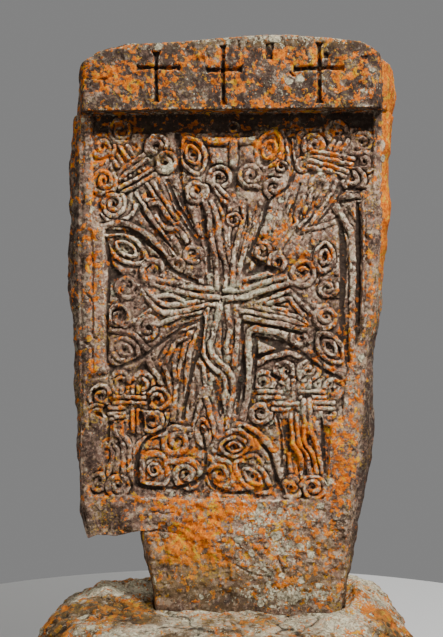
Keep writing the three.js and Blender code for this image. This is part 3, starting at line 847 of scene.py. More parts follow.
def cross_outlines(x, head, arms, foot, arm_left, arm_right):
    """The upright and the arms of a cross whose ends widen."""
    top, arm_z, bottom = (CORNICE_UNDERSIDE + CORNICE_HEIGHT * share for share in (head, arms, foot))
    half, tip, end_tip, serif = CROSS_HALF_WIDTH, CROSS_TIP, CROSS_ARM_TIP, CROSS_SERIF
    upright = [(x - tip, bottom), (x + tip, bottom), (x + half, bottom + serif), (x + half, top - serif),
               (x + tip, top), (x - tip, top), (x - half, top - serif), (x - half, bottom + serif)]
    across = [(arm_left, arm_z - end_tip), (arm_left + serif, arm_z - half),
              (arm_right - serif, arm_z - half), (arm_right, arm_z - end_tip),
              (arm_right, arm_z + end_tip), (arm_right - serif, arm_z + half),
              (arm_left + serif, arm_z + half), (arm_left, arm_z + end_tip)]
    return upright, across


def cornice_front():
    """The cornice's rough front as height over its own plane, with the crosses, marks and pits cut in."""
    surface = 2.8 * raster_noise(60, 61, 4) + 1.8 * raster_noise(12, 71, 3)
    leaning = flat_points + flat_points[:, [2, 1, 1]] * (0.35, 0, 0)
    surface += 1.9 * rough(leaning * (1, 1, 0.2), 9, 77, 3).reshape(ROWS, COLUMNS)
    surface -= 3.0 * patches(34, 73, 3, 0.3, 0.8)
    cuts = []
    for cross in CUT_CROSSES:
        upright, across = cross_outlines(*cross)
        cuts += [(upright, CROSS_DEPTH), (across, CROSS_DEPTH * 0.9)]
    for outline, depth in cuts + MARKS:
        cells, x, z = window(outline, CUT_SLOPE)
        edge = np.where(inside(outline, x, z), outline_distance(outline, x, z), 0)
        surface[cells] -= depth * np.clip(edge / CUT_SLOPE, 0, 1) ** 0.7
    return surface


cornice = cornice_front()


def sample(field, x, z):
    """The raster's value at any x and z."""
    u = np.clip((x - RASTER_LOW[0]) / RASTER_STEP, 0, COLUMNS - 1.001)
    v = np.clip((z - RASTER_LOW[1]) / RASTER_STEP, 0, ROWS - 1.001)
    i, j = u.astype(int), v.astype(int)
    a, b = u - i, v - j
    low = field[j, i] * (1 - a) + field[j, i + 1] * a
    high = field[j + 1, i] * (1 - a) + field[j + 1, i + 1] * a
    return low * (1 - b) + high * b


# The slab's outline at each height: height, left and right front edges, and how far each rough side swells
SHOULDER = 186.0
BODY_LEVELS = np.array([
    [SHOULDER, -405, 378, 12, 34],
    [260, -419, 384, 20, 44],
    [420, -424, 392, 28, 58],
    [600, -424, 412, 32, 46],
    [780, -425, 432, 40, 36],
    [850, -425, 452, 48, 22],
    [975, -427, 460, 58, 24],
    [1180, -425, 462, 60, 52],
    [1300, -422, 463, 62, 52],
    [1410, -422, 470, 50, 52],
    [1575, -416, 468, 46, 72],
    [1640, -410, 462, 42, 64],
    [1700, -408, 458, 38, 56],
])
FOOT_LEVELS = np.array([
    [-TENON_DEPTH, -186, 338, 16, 8],
    [-70, -192, 343, 18, 10],
    [30, -201, 366, 20, 20],
    [80, -212, 371, 20, 22],
    [170, -228, 376, 20, 34],
    [215, -230, 378, 20, 36],
])
# The broken left shoulder's underside, and the cornice's uneven top: x and height
UNDERSIDE = np.array([(-410, 177), (-376, 190), (-320, 188), (-246, 202), (-191, 208)])
CORNICE_TOP = np.array([
    (-500, 1598), (-411, 1617), (-350, 1643), (-270, 1660), (-150, 1664), (60, 1677), (200, 1680),
    (310, 1671), (420, 1658), (465, 1634), (540, 1600),
])
FOOT_LEFT = -228.0
FOOT_END = 205.0
BODY_LEFT = -405.0
SHOULDER_LIFT = 14.0
LEVEL_FROM = 300.0
CORNICE_LEFT = -411.0
CORNICE_RIGHT = 463.0
BROW = 16.0
CROWN = 3.0
SOFFIT_SAG = 5.0
SOFFIT_RISE = 0.5
# A side's swell at shares of the thickness, from the front edge to the back
SIDE_SHARES = (0, 0.17, 0.45, 0.76, 1.0)
SIDE_SWELLS = (0.0, 0.72, 1.0, 0.7, -0.35)
CORNER_ROUNDING = 42.0
BACK_INSET = 18.0
BACK_BULGE = 8.0
FRONT_WIDTH = 880.0
FRONT_COLUMNS = 384
SIDE_COLUMNS = 34
BACK_COLUMNS = 74
# Rows of each part of the slab's skin, and the step between those of the tenon
TENON_STEP = 8.0
SHOULDER_ROWS = 46
ABOVE_ROWS = 44
SOFFIT_ROWS = 30
CORNICE_ROWS = int(CORNICE_HEIGHT / FRONT_STEP * 0.92)
BROW_ROWS = 12
TOP_ROWS = 26


def level(levels, z):
    return [np.interp(z, levels[:, 0], levels[:, k]) for k in (1, 2, 3, 4)]


def height_on(line, x):
    return np.interp(x, line[:, 0], line[:, 1])


def slab_rows():
    """Each row of the slab's skin, from the foot up: its kind, and its height or how far through it is."""
    rows = [("foot", z) for z in np.arange(-TENON_DEPTH, 0, TENON_STEP)]
    rows += [("foot", z) for z in np.arange(0, height_on(UNDERSIDE, FOOT_LEFT), FRONT_STEP)]
    rows += [("shoulder", t) for t in np.linspace(0, 1, SHOULDER_ROWS)]
    rows += [("above", t) for t in np.linspace(0, 1, ABOVE_ROWS)[1:]]
    z = LEVEL_FROM + FRONT_STEP
    while z < CORNICE_UNDERSIDE:
        rows.append(("body", z))
        z += FRONT_STEP
    rows += [("soffit", t) for t in np.linspace(0, 1, SOFFIT_ROWS)]
    rows += [("cornice", t) for t in np.linspace(0, 1, CORNICE_ROWS)[1:]]
    rows += [("brow", t) for t in np.linspace(0, 1, BROW_ROWS)[1:]]
    rows += [("top", t) for t in np.linspace(0, 1, TOP_ROWS)[1:-1]]
    return rows


def row_edges(kind, value):
    """A row's left and right front edges, the swells of its sides, and how far out the cornice has come."""
    if kind == "foot":
        return *level(FOOT_LEVELS, value), 0.0
    if kind == "shoulder":
        foot, body = level(FOOT_LEVELS, FOOT_END), level(BODY_LEVELS, SHOULDER)
        right, swell_left, swell_right = (a + (b - a) * value for a, b in zip(foot[1:], body[1:]))
        return FOOT_LEFT + (BODY_LEFT - FOOT_LEFT) * value, right, swell_left, swell_right, 0.0
    if kind == "above":
        return *level(BODY_LEVELS, SHOULDER + (LEVEL_FROM - SHOULDER) * value), 0.0
    if kind == "body":
        return *level(BODY_LEVELS, value), 0.0
    rise = {"soffit": 0.0, "cornice": value * (CORNICE_HEIGHT - BROW)}.get(kind, CORNICE_HEIGHT)
    reach = value if kind == "soffit" else 1.0
    left, right, swell_left, swell_right = level(BODY_LEVELS, CORNICE_UNDERSIDE + rise)
    left = left + reach * (CORNICE_LEFT - left)
    right = right + reach * (CORNICE_RIGHT - right)
    return left, right, swell_left, swell_right, reach


def row_heights(kind, value, x, left):
    """The height of each point of a row."""
    if kind in ("foot", "body"):
        return np.full(x.shape, value)
    if kind in ("shoulder", "above"):
        lifted = value if kind == "shoulder" else 1.0
        begun = np.clip((FOOT_LEFT - x) / (FOOT_LEFT - BODY_LEFT), 0, 1)
        z = height_on(UNDERSIDE, x) + SHOULDER_LIFT * (lifted - begun)
        z = np.where(x < left, height_on(UNDERSIDE, left), z)
        return z if kind == "shoulder" else z + (LEVEL_FROM - z) * value
    if kind == "soffit":
        sag = SOFFIT_SAG * math.sin(math.pi * value)
        return np.full(x.shape, CORNICE_UNDERSIDE) + SOFFIT_RISE * value + sag
    if kind == "top":
        return height_on(CORNICE_TOP, x) + CROWN * math.sin(math.pi * min(value, 0.5))
    share = value if kind == "cornice" else 1.0
    z = CORNICE_UNDERSIDE + SOFFIT_RISE + share * (height_on(CORNICE_TOP, x) - BROW - CORNICE_UNDERSIDE)
    return z if kind == "cornice" else z + BROW - BROW * (1 - math.sin(value * math.pi / 2))


def slab_skin():
    """The slab's skin as rows of points that run round it, fine over the front."""
    u_front = np.linspace(0, 1, FRONT_COLUMNS)
    s_side = np.linspace(0, 1, SIDE_COLUMNS + 2)[1:-1]
    u_back = np.linspace(0, 1, BACK_COLUMNS)
    side_curve = np.interp(s_side, SIDE_SHARES, SIDE_SWELLS)
    rounding = CORNER_ROUNDING * step_up(0.72, 1.0, s_side)
    y_back = BACK_Y - BACK_BULGE + BACK_BULGE * (1 - (2 * u_back - 1) ** 4)
    first = SIDE_SHARES[1]
    skin = []
    for kind, value in slab_rows():
        left, right, swell_left, swell_right, reach = row_edges(kind, value)
        front_y = FACE_Y - CORNICE_REACH * reach
        x_front = left + u_front * (right - left)
        x_right = right + swell_right * side_curve - rounding
        x_left = left - swell_left * side_curve + rounding
        back_left = left + BACK_INSET
        back_right = right - BACK_INSET
        x_back = back_right - CORNER_ROUNDING + u_back * (back_left - back_right + 2 * CORNER_ROUNDING)
        y_start = front_y + (FACE_Y + first * THICKNESS - front_y) * s_side / first
        y_side = np.where(s_side < first, y_start, FACE_Y + THICKNESS * s_side)
        x = np.concatenate([x_front, x_right, x_back, x_left[::-1]])
        y = np.concatenate([np.full(FRONT_COLUMNS, front_y), y_side, y_back, y_side[::-1]])
        z = row_heights(kind, value, x, left)
        if kind in ("brow", "top"):
            inset = BROW if kind == "top" else BROW * (1 - math.cos(value * math.pi / 2))
            closing = 1 - value if kind == "top" else 1.0
            middle_x, middle_y = (left + right) / 2, (front_y + BACK_Y) / 2
            half_x, half_y = (right - left) / 2, (BACK_Y - front_y) / 2
            x = middle_x + (x - middle_x) * ((half_x - inset) / half_x * closing)
            y = middle_y + (y - middle_y) * ((half_y - inset) / half_y * closing)
        if kind == "top":
            z = row_heights(kind, value, x, left)
        skin.append((kind, reach, x, y, z))
    return skin


def closed_skin(points, count, ends):
    """Joins rows of that many points each, which run round, and closes the first and last row to the ends."""
    start = np.arange(0, len(points) - count, count)[:, None]
    here = np.arange(count)
    after = (here + 1) % count
    quads = np.stack([start + here, start + after, start + after + count, start + here + count], axis=2)
    faces = quads.reshape(-1, 4).tolist()
    bottom = len(points)
    last = bottom - count
    faces += [(bottom, (a + 1) % count, a) for a in range(count)]
    faces += [(bottom + 1, last + a, last + (a + 1) % count) for a in range(count)]
    return np.concatenate([points, ends]), faces


# The slab's front edges are rubbed round and chipped, and its rough skin fades in behind its corners
EDGE_RUB = 9.0
EDGE_RUB_WIDTH = 11.0
EDGE_CHIP_DEPTH = 6.0
EDGE_CHIP_WIDTH = 14.0
CORNER_FADE = [0.1, 0.35, 0.65, 0.9]
TOP_ROUGHNESS = 0.4
SHOULDER_ROUGHNESS = 0.35


def build_slab():
    """The slab's vertices and faces, with the carving on its front and rough sides."""
    kinds, reach, x, y, z = (np.array(part) for part in zip(*slab_skin()))
    reach = reach[:, None]
    count = x.shape[1]
    # Outward direction in plan, from the neighbours along each row
    tx = np.roll(x, -1, axis=1) - np.roll(x, 1, axis=1)
    ty = np.roll(y, -1, axis=1) - np.roll(y, 1, axis=1)
    length = np.hypot(tx, ty) + HAIR
    nx, ny = ty / length, -tx / length
    nx[:, :FRONT_COLUMNS] = 0.0
    ny[:, :FRONT_COLUMNS] = -1.0
    points = as_points(x, y, z)
    coarse = 11 * rough(points, 170, 101, 4) + 4.0 * rough(points, 38, 113, 3)
    coarse += 2.6 * rough(points * (1, 1, 0.14), 13, 119, 3)
    coarse = coarse.reshape(x.shape)
    chips = EDGE_CHIP_DEPTH * step_up(0.35, 0.9, rough(points, 30, 127, 3)).reshape(x.shape)
    push = sample(front, x, z) * (1 - reach) + sample(cornice, x, z) * reach
    u = np.linspace(0, 1, FRONT_COLUMNS)
    edge = np.minimum(u, 1 - u) * FRONT_WIDTH
    push = push[:, :FRONT_COLUMNS] - EDGE_RUB * (1 - np.clip(edge / EDGE_RUB_WIDTH, 0, 1)) ** 2
    push = push - chips[:, :FRONT_COLUMNS] * np.exp(-(edge / EDGE_CHIP_WIDTH) ** 2)
    fade = np.ones(count - FRONT_COLUMNS)
    fade[:len(CORNER_FADE)] = CORNER_FADE
    fade[-len(CORNER_FADE):] = CORNER_FADE[::-1]
    amount = np.concatenate([push, coarse[:, FRONT_COLUMNS:] * fade], axis=1)
    # The tenon stays smooth inside its socket
    amount = amount * (1 - step_up(20, -20, z))
    top = (kinds == "top")[:, None]
    x = np.where(top, x, x + nx * amount)
    y = np.where(top, y, y + ny * amount)
    z = np.where(top, z + coarse * TOP_ROUGHNESS, z)
    under_shoulder = (kinds == "shoulder")[:, None] & (np.arange(count) >= FRONT_COLUMNS)
    z = z + np.where(under_shoulder, coarse * SHOULDER_ROUGHNESS, 0)
    points = as_points(x, y, z)
    vertices, faces = closed_skin(points, count, [points[:count].mean(axis=0), points[-count:].mean(axis=0)])
    vertices[:, 2] += BASE_HEIGHT
    return vertices, faces


def new_piece(name, vertices, faces, node, slot_name):
    mesh = bpy.data.meshes.new(name)
    mesh.from_pydata((vertices * MM).tolist(), [], faces)
    mesh.validate()
    piece = bpy.data.objects.new(name, mesh)
    bpy.context.scene.collection.objects.link(piece)
    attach(piece, "root")
    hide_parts(node)
    return piece


def thin_out(piece, triangles):
    """Joins the flattest neighbouring faces until the piece has about so many triangles."""
    corners = sum(len(p.vertices) - 2 for p in piece.data.polygons)
    modifier = piece.modifiers.new("thin", "DECIMATE")
    modifier.ratio = min(1.0, triangles / corners)
    graph = bpy.context.evaluated_depsgraph_get()
    mesh = bpy.data.meshes.new_from_object(piece.evaluated_get(graph))
    piece.modifiers.clear()
    old = piece.data
    piece.data = mesh
    bpy.data.meshes.remove(old)


def shade_smooth(piece):
    for polygon in piece.data.polygons:
        polygon.use_smooth = True


slab = new_piece("slab_stone", *build_slab(), "slab", "carved_stone")
thin_out(slab, SLAB_TRIANGLES)
shade_smooth(slab)

# The base stone
SOCKET_MIDDLE = (80.0, 0.0)
SOCKET_BACK_GAP = 6.0
SOCKET_FLOOR = -(TENON_DEPTH + 1.3)
BASE_SIDES = 400
BASE_RINGS = 44
SOCKET_RINGS = 8
# Height and scale of the base stone's rings, from the ground up
BASE_PROFILE = [(0, 0.975), (60, 1.0), (131, 0.975), (183, 0.925), (232, 0.85), (272, 0.70)]
UNDERSIDE_SHARES = (0.3, 0.6, 0.85)
RIM_RISE = 2.0
RIM_ROUGHNESS = 9.0
CRACK_DEPTH = 11.0
BASE_LEAN = 14.0
BASE_TWIST = 10.0
BASE_DROP = 2.0


def base_lift(angle):
    """How far the base stone's shoulder stands over or under its height, all round."""
    dip = BASE_FRONT_DIP * np.maximum(0, -np.sin(angle))
    return BASE_LEAN * np.cos(angle) + BASE_TWIST * np.sin(2 * angle + 0.8) - BASE_DROP - dip


def base_ring(angle, height, scale):
    c, s = np.cos(angle), np.sin(angle)
    wobble = 1 + 0.022 * np.sin(3 * angle + 0.6) + 0.016 * np.sin(5 * angle + 2.1 + height / 90)
    reach = scale * wobble / (np.abs(c) ** 3 + np.abs(s) ** 3) ** (1 / 3)
    return BASE_HALF_WIDTH * reach * c, BASE_HALF_DEPTH * reach * s


def socket_ring(angle, height):
    """Where rays from the middle meet the slab's foot at that height, with the clearance round it."""
    left, right, swell_left, swell_right = level(FOOT_LEVELS, height)
    g = TENON_CLEARANCE
    bends = list(zip(SIDE_SHARES, SIDE_SWELLS))[1:4]
    ring = [(left - g, FACE_Y - g), (right + g, FACE_Y - g)]
    ring += [(right + g + swell_right * swell, FACE_Y + THICKNESS * share) for share, swell in bends]
    ring += [(right + SOCKET_BACK_GAP, BACK_Y + g), (left - SOCKET_BACK_GAP, BACK_Y + g)]
    ring += [(left - g - swell_left * swell, FACE_Y + THICKNESS * share) for share, swell in bends[::-1]]
    best = np.full(angle.shape, FAR)
    cx, cy = SOCKET_MIDDLE
    c, s = np.cos(angle), np.sin(angle)
    for a, b in zip(ring, [*ring[1:], ring[0]]):
        ex, ey = b[0] - a[0], b[1] - a[1]
        cross = c * ey - s * ex
        cross = np.where(np.abs(cross) < TINY, TINY, cross)
        t = ((a[0] - cx) * ey - (a[1] - cy) * ex) / cross
        u = ((a[0] - cx) * s - (a[1] - cy) * c) / cross
        hit = (t > 0) & (u >= -HAIR) & (u <= 1 + HAIR)
        best = np.where(hit & (t < best), t, best)
    return cx + best * c, cy + best * s


def base_rings():
    """The base stone's rings, from its underside over its top into the socket, with how rough each one is."""
    angle = np.linspace(0, 2 * math.pi, BASE_SIDES, endpoint=False)
    lift = base_lift(angle)
    heights, scales = np.array(BASE_PROFILE).T
    knots = np.linspace(0, 1, len(BASE_PROFILE))
    rings = []
    for share in UNDERSIDE_SHARES:
        x, y = base_ring(angle, 0.0, scales[0] * share)
        rings.append((x, y, np.zeros_like(x), 0.0))
    for t in np.linspace(0, 1, BASE_RINGS):
        height = np.interp(t, knots, heights)
        x, y = base_ring(angle, height, np.interp(t, knots, scales))
        rise = lift * step_up(200, heights[-1], height)
        rings.append((x, y, np.full_like(x, min(height, BASE_HEIGHT)) + rise, step_up(0, 30, height)))
    outer_x, outer_y, outer_z, _ = rings[-1]
    rim_angle = np.arctan2(outer_y - SOCKET_MIDDLE[1], outer_x - SOCKET_MIDDLE[0])
    rim_x, rim_y = socket_ring(rim_angle, 0.0)
    rim_points = as_points(rim_x, rim_y, np.zeros_like(rim_x))
    rim = RIM_RISE - BASE_FRONT_DIP * 0.95 * step_up(60, -140, rim_y)
    rim = rim + RIM_ROUGHNESS * rough(rim_points, 90, 241, 3)
    for t in np.linspace(0, 1, BASE_RINGS)[1:]:
        x = outer_x + (rim_x - outer_x) * t
        y = outer_y + (rim_y - outer_y) * t
        z = outer_z + (BASE_HEIGHT + rim - outer_z) * step_up(0.0, 1.0, t)
        rings.append((x, y, z, 1 - step_up(0.93, 1.0, t)))
    for t in np.linspace(0, 1, SOCKET_RINGS)[1:]:
        x, y = socket_ring(rim_angle, SOCKET_FLOOR * t)
        rings.append((x, y, BASE_HEIGHT + rim + (SOCKET_FLOOR - rim) * t, 0.0))
    return rings


def build_base():
    """The base stone's vertices and faces, and how deep in a crack each vertex lies."""
    x, y, z, roughness = (np.array(part) for part in zip(*base_rings()))
    points = as_points(x, y, z)
    lumps = 14 * rough(points, 210, 211, 3) + 11 * rough(points, 64, 223, 4) + 4.5 * rough(points, 22, 227, 3)
    ridged = 18 * (0.5 - np.abs(rough(points, 110, 231, 4)))
    cracks = step_up(0.14, 0.0, np.abs(rough(points, 120, 281, 3)))
    amount = (lumps + ridged - 6 - CRACK_DEPTH * cracks).reshape(x.shape) * roughness[:, None]
    length = np.hypot(x / BASE_HALF_WIDTH, y / BASE_HALF_DEPTH) + HAIR
    up = step_up(180, 280, z)
    x = x + amount * (1 - up) * x / (BASE_HALF_WIDTH * length)
    y = y + amount * (1 - up) * y / (BASE_HALF_DEPTH * length)
    z = z + amount * up
    ends = [(0.0, 0.0, 0.0), (SOCKET_MIDDLE[0], 0.0, BASE_HEIGHT + SOCKET_FLOOR)]
    vertices, faces = closed_skin(as_points(x, y, z), BASE_SIDES, ends)
    return vertices, faces, np.append(cracks, (0, 0))


base_vertices, base_faces, base_cracks = build_base()
base = new_piece("base_boulder", base_vertices, base_faces, "base_stone", "rough_stone")
shade_smooth(base)

# Where each growth and tint lies: x, height above the base stone, half sizes, strength
ORANGE = [
    (-320, 1560, 110, 60, 0.75), (-60, 1610, 120, 40, 0.5), (60, 1540, 130, 70, 0.45),
    (200, 1600, 120, 50, 0.6), (360, 1560, 120, 60, 0.6), (-190, 1540, 60, 70, 0.35),
    (130, 1480, 300, 25, 0.5), (-330, 1430, 70, 34, 0.9), (-60, 1425, 120, 22, 0.5),
    (150, 1420, 120, 22, 0.6), (330, 1425, 90, 22, 0.5), (-372, 1300, 30, 110, 0.6),
    (-300, 1330, 60, 70, 0.4), (150, 1380, 50, 60, 0.7), (-100, 1380, 40, 40, 0.6), (280, 1350, 60, 60, 0.45),
    (40, 1380, 90, 20, 0.5), (230, 1010, 50, 50, 0.55), (170, 1080, 50, 60, 0.3), (-385, 940, 30, 160, 0.4),
    (-385, 700, 30, 100, 0.35), (-290, 1060, 70, 60, 0.2), (-110, 760, 60, 90, 0.3),
    (-280, 590, 110, 90, 0.3), (-320, 420, 60, 120, 0.25), (-150, 420, 110, 80, 0.5), (0, 380, 120, 60, 0.5),
    (90, 470, 90, 70, 0.5), (110, 330, 90, 50, 0.5), (230, 470, 60, 130, 0.65), (356, 430, 40, 150, 0.9),
    (150, 600, 60, 50, 0.45), (-80, 180, 130, 110, 0.95), (-30, 70, 110, 50, 0.35), (120, 170, 110, 90, 0.5),
    (250, 190, 110, 90, 0.5), (200, 40, 150, 60, 0.4), (0, 270, 250, 40, 0.7), (-250, 290, 160, 30, 0.4),
    (390, 600, 30, 200, 0.4), (444, 990, 14, 140, 0.5), (300, 1330, 90, 60, 0.5), (300, 690, 60, 60, 0.3),
    (10, 640, 40, 100, 0.3),
]
PALE = [
    (30, 930, 110, 45, 1.0), (125, 950, 60, 35, 1.0), (-25, 850, 40, 60, 0.9), (86, 720, 18, 130, 0.9),
    (140, 803, 70, 14, 0.9), (389, 1010, 14, 140, 0.5), (260, 590, 110, 25, 0.9), (143, 1129, 25, 30, 0.8),
    (-41, 765, 16, 60, 0.9), (12, 630, 18, 70, 0.8), (-290, 1060, 60, 60, 0.9), (-280, 1200, 50, 60, 0.8),
    (125, 625, 40, 60, 0.9), (30, 400, 60, 40, 0.6), (-150, 380, 80, 50, 0.6), (110, 245, 90, 50, 1.0),
    (190, 160, 80, 60, 0.8), (110, 100, 70, 50, 0.7), (200, 20, 170, 36, 1.0), (300, 230, 50, 50, 0.5),
    (60, 190, 50, 60, 0.6), (-345, 1090, 25, 60, 0.6), (-340, 950, 22, 70, 0.5), (300, 1300, 70, 60, 0.4),
    (90, 1000, 60, 60, 0.5), (20, 900, 90, 70, 0.7), (310, 1120, 60, 80, 0.35), (-40, 1250, 80, 60, 0.35),
    (370, 1120, 30, 90, 0.6), (150, 880, 90, 50, 0.5), (130, 750, 60, 50, 0.6), (-10, 720, 70, 110, 0.7),
    (250, 620, 120, 80, 0.8), (-200, 640, 80, 40, 0.4), (-150, 900, 90, 50, 0.7), (-300, 1090, 60, 40, 0.5),
    (110, 1668, 260, 22, 0.7), (-250, 1658, 160, 20, 0.6), (130, 420, 30, 60, 0.3), (200, 1530, 60, 60, 0.35),
    (430, 1500, 40, 60, 0.3),
]
BARE = [
    (-385, 430, 32, 120, 1.0), (-290, 750, 70, 80, 0.8), (-310, 450, 50, 90, 0.6), (-300, 950, 50, 160, 0.5),
    (-330, 240, 100, 50, 1.0), (-200, 1640, 50, 40, 0.5), (120, 1590, 40, 50, 0.4), (-200, 730, 80, 60, 0.5),
    (150, 700, 70, 80, 0.7), (370, 1130, 40, 80, 0.6), (415, 980, 20, 130, 0.5), (420, 1300, 30, 100, 0.5),
    (200, 720, 70, 40, 0.6), (160, 860, 60, 60, 0.4),
]
OLIVE = [
    (-60, 60, 260, 90, 1.0), (240, 50, 200, 70, 0.8), (-190, 110, 60, 90, 0.7), (300, 170, 90, 60, 0.6),
    (150, 1655, 320, 16, 0.7), (-160, 600, 90, 120, 0.35), (150, 480, 90, 90, 0.3),
]
# Places darkened with painted shade, partly grime: below the cornice's right end, on the cornice front, along
# the slab's edges and near its foot
SHADE_AND_GRIME_SPOTS = [
    (460, 1400, 24, 60, 1.0), (-400, 390, 30, 60, 0.9), (-300, 1500, 160, 60, 0.7), (-60, 1510, 150, 60, 0.8),
    (200, 1510, 160, 60, 0.8), (400, 1600, 80, 60, 0.5), (-220, 1620, 120, 40, 0.6),
    (120, 1640, 160, 40, 0.5), (-415, 900, 20, 500, 0.7), (-340, 230, 110, 60, 0.7), (60, 10, 260, 40, 0.9),
    (440, 900, 40, 400, 0.4), (-380, 480, 40, 120, 0.5), (380, 300, 60, 160, 0.4),
]


def point_values(piece, key):
    """A three-part value of each of the piece's points."""
    flat = np.empty(len(piece.data.vertices) * 3, dtype=np.float32)
    piece.data.vertices.foreach_get(key, flat)
    return flat.reshape(-1, 3)


def add_fields(piece, fields):
    """Stores one value a point under each name, for the material to read."""
    for name, values in fields.items():
        attribute = piece.data.attributes.new(name, "FLOAT", "POINT")
        attribute.data.foreach_set("value", np.asarray(values, dtype=np.float32))


# What counts as the carved front: how far behind the face plane, and between which x
FRONT_BEHIND = 26.0
FRONT_FROM = -430.0
FRONT_TO = 480.0
# Differences of level at which hollows and ridges are marked in full
HOLLOW_FULL = 9.0
LOW_FROM = 9.0
LOW_RANGE = 11.0
HIGH_FULL = 7.0
PROUD_FULL = 2.6


def mark_slab():
    """Gives the slab's points their crevice, ridge and growth values, with the places of painted shade and
    painted highlight.
    """
    places = point_values(slab, "co").astype(float) / MM
    normals = point_values(slab, "normal")
    x, y, z = places[:, 0], places[:, 1], places[:, 2] - BASE_HEIGHT
    on_front = (y < FACE_Y + FRONT_BEHIND) & (x > FRONT_FROM) & (x < FRONT_TO) & (normals[:, 1] < 0.3)
    on_cornice = z > CORNICE_UNDERSIDE
    right_side = (normals[:, 0] > 0.35) & ~on_front
    left_side = (normals[:, 0] < -0.35) & ~on_front
    back = normals[:, 1] > 0.4
    top = (normals[:, 2] > 0.6) & (z > 1500)
    soffit = (normals[:, 2] < -0.45) & (np.abs(z - CORNICE_UNDERSIDE) < 25)
    # How low or high a point lies against its surroundings
    whole = np.where(grid_z > CORNICE_UNDERSIDE, cornice, front)
    here, near, wide = (sample(field, x, z) for field in (whole, blur(whole, 3), blur(whole, 7)))
    hollow = np.clip((wide - here) / HOLLOW_FULL, 0, 1)
    low = np.clip((-here - LOW_FROM) / LOW_RANGE, 0, 1) * sample(field_share, x, z)
    high = np.clip((here - wide) / HIGH_FULL, 0, 1)
    proud = np.clip((here - near) / PROUD_FULL, 0, 1)
    # Painted shadow: the band under the cornice, where its shadow falls, is marked dark and gets fewer orange
    # growths
    eave_shadow = step_up(1402, 1416, z) * step_up(1466, 1458, z) * (x > -400) * (x < 480)
    cut = step_up(5.0, 9.0, -sample(cornice, x, z)) * (z > CORNICE_UNDERSIDE + 4)
    dark = sample(blur(deep.astype(float), 1), x, z) * low
    # Painted shade: hollows, deep pockets, the cut crosses and marks, the band under the cornice and the
    # cornice's underside are marked dark
    hollow = np.maximum(np.maximum(0.5 * hollow + 0.70 * low, 0.7 * eave_shadow), np.maximum(cut, dark))
    cavity = np.where(soffit, 0.6, np.where(on_front, np.clip(hollow, 0, 1), 0.0))
    # Rib tops are marked for a painted highlight, partly pale wear; elsewhere only a little
    ridge = np.where(on_front, np.clip(0.55 * high + 0.45 * proud, 0, 1), 0.15)
    # The growths of the front lie where the photo has them; on the other sides they drift
    drift = 170 * rough(places, 260, 401, 3)
    orange = zones(ORANGE, x, z) * (1 - 0.5 * eave_shadow)
    orange = np.where(right_side, 1.35 * step_up(820, 1320, z + drift) + 0.05, orange)
    orange = np.where(left_side, 0.10 + 0.6 * step_up(1250, 1650, z + drift), orange)
    orange = np.where(top, 0.55, orange)
    orange = np.where(back, 0.10 + 0.7 * step_up(-60, 110, drift) + 0.25 * step_up(1200, 1600, z), orange)
    pale_belt = step_up(1250, 1050, z + drift) * step_up(750, 950, z + drift)
    pale = np.where(right_side, 0.05 + 0.3 * pale_belt, zones(PALE, x, z))
    pale = np.where(top, 0.75, pale)
    pale = np.where(back, 0.25 + 0.6 * step_up(0, -110, drift), pale)
    bare = np.where(right_side & (z < 800), 0.8, zones(BARE, x, z))
    # Painted shade, partly grime: the left side and the lower right side darker, the cornice front fully
    # dark, the back at random
    shade_and_grime = np.where(left_side, 0.8, zones(SHADE_AND_GRIME_SPOTS, x, z))
    shade_and_grime = np.where(right_side, 0.85 - 0.2 * step_up(850, 1200, z + drift), shade_and_grime)
    shade_and_grime = np.where(back, 0.3 + 0.5 * rough(places, 190, 411, 3), shade_and_grime)
    shade_and_grime = np.where(on_front & on_cornice, 1.0, shade_and_grime)
    add_fields(slab, {"cavity": cavity, "ridge": ridge, "orange": orange, "pale": pale, "bare": bare,
                      "olive": zones(OLIVE, x, z), "shade_and_grime": shade_and_grime})


def mark_base():
    """Gives the base stone's points the same values, darker towards the ground and in the cracks."""
    places = point_values(base, "co").astype(float) / MM
    x, z = places[:, 0], places[:, 2]
    ridge = 0.3 + 0.4 * rough(places, 30, 291, 3)
    patchy = rough(places, 120, 261, 3)
    streak = rough(places, 90, 271, 3)
    add_fields(base, {
        "cavity": np.maximum(step_up(120, 0, z) * 0.4, 0.95 * base_cracks),
        "ridge": ridge,
        "orange": 0.20 + 0.6 * streak + 0.5 * step_up(260, 420, x),
        "pale": 0.35 + 0.2 * step_up(120, 250, z) + 1.0 * patchy,
        "bare": np.zeros(len(z)),
        "olive": 0.5 - 0.6 * patchy,
        "shade_and_grime": 0.3 + 0.5 * step_up(150, 0, z) - 0.8 * patchy,
    })


mark_slab()
mark_base()

# Materials
GRIME_AND_SHADE_TONE = colour(66, 48, 40)
SAND = colour(200, 176, 146)
BLOT = colour(50, 37, 31)
CREAM = colour(250, 230, 200)
EARTH = colour(116, 92, 54)
YELLOW_DUST = colour(158, 126, 50)
DEEP_ORANGE = colour(188, 86, 8)
BRIGHT_ORANGE = colour(232, 130, 20)
YELLOW = colour(212, 156, 30)
MOSSY_ORANGE = colour(150, 116, 52)
BROWN_SPECKS = colour(96, 52, 26)
PALE_GREY = colour(146, 136, 112)
PALE_WHITE = colour(218, 210, 178)
HOLLOW_SHADE = colour(34, 25, 19)
SHADE = colour(32, 22, 16)


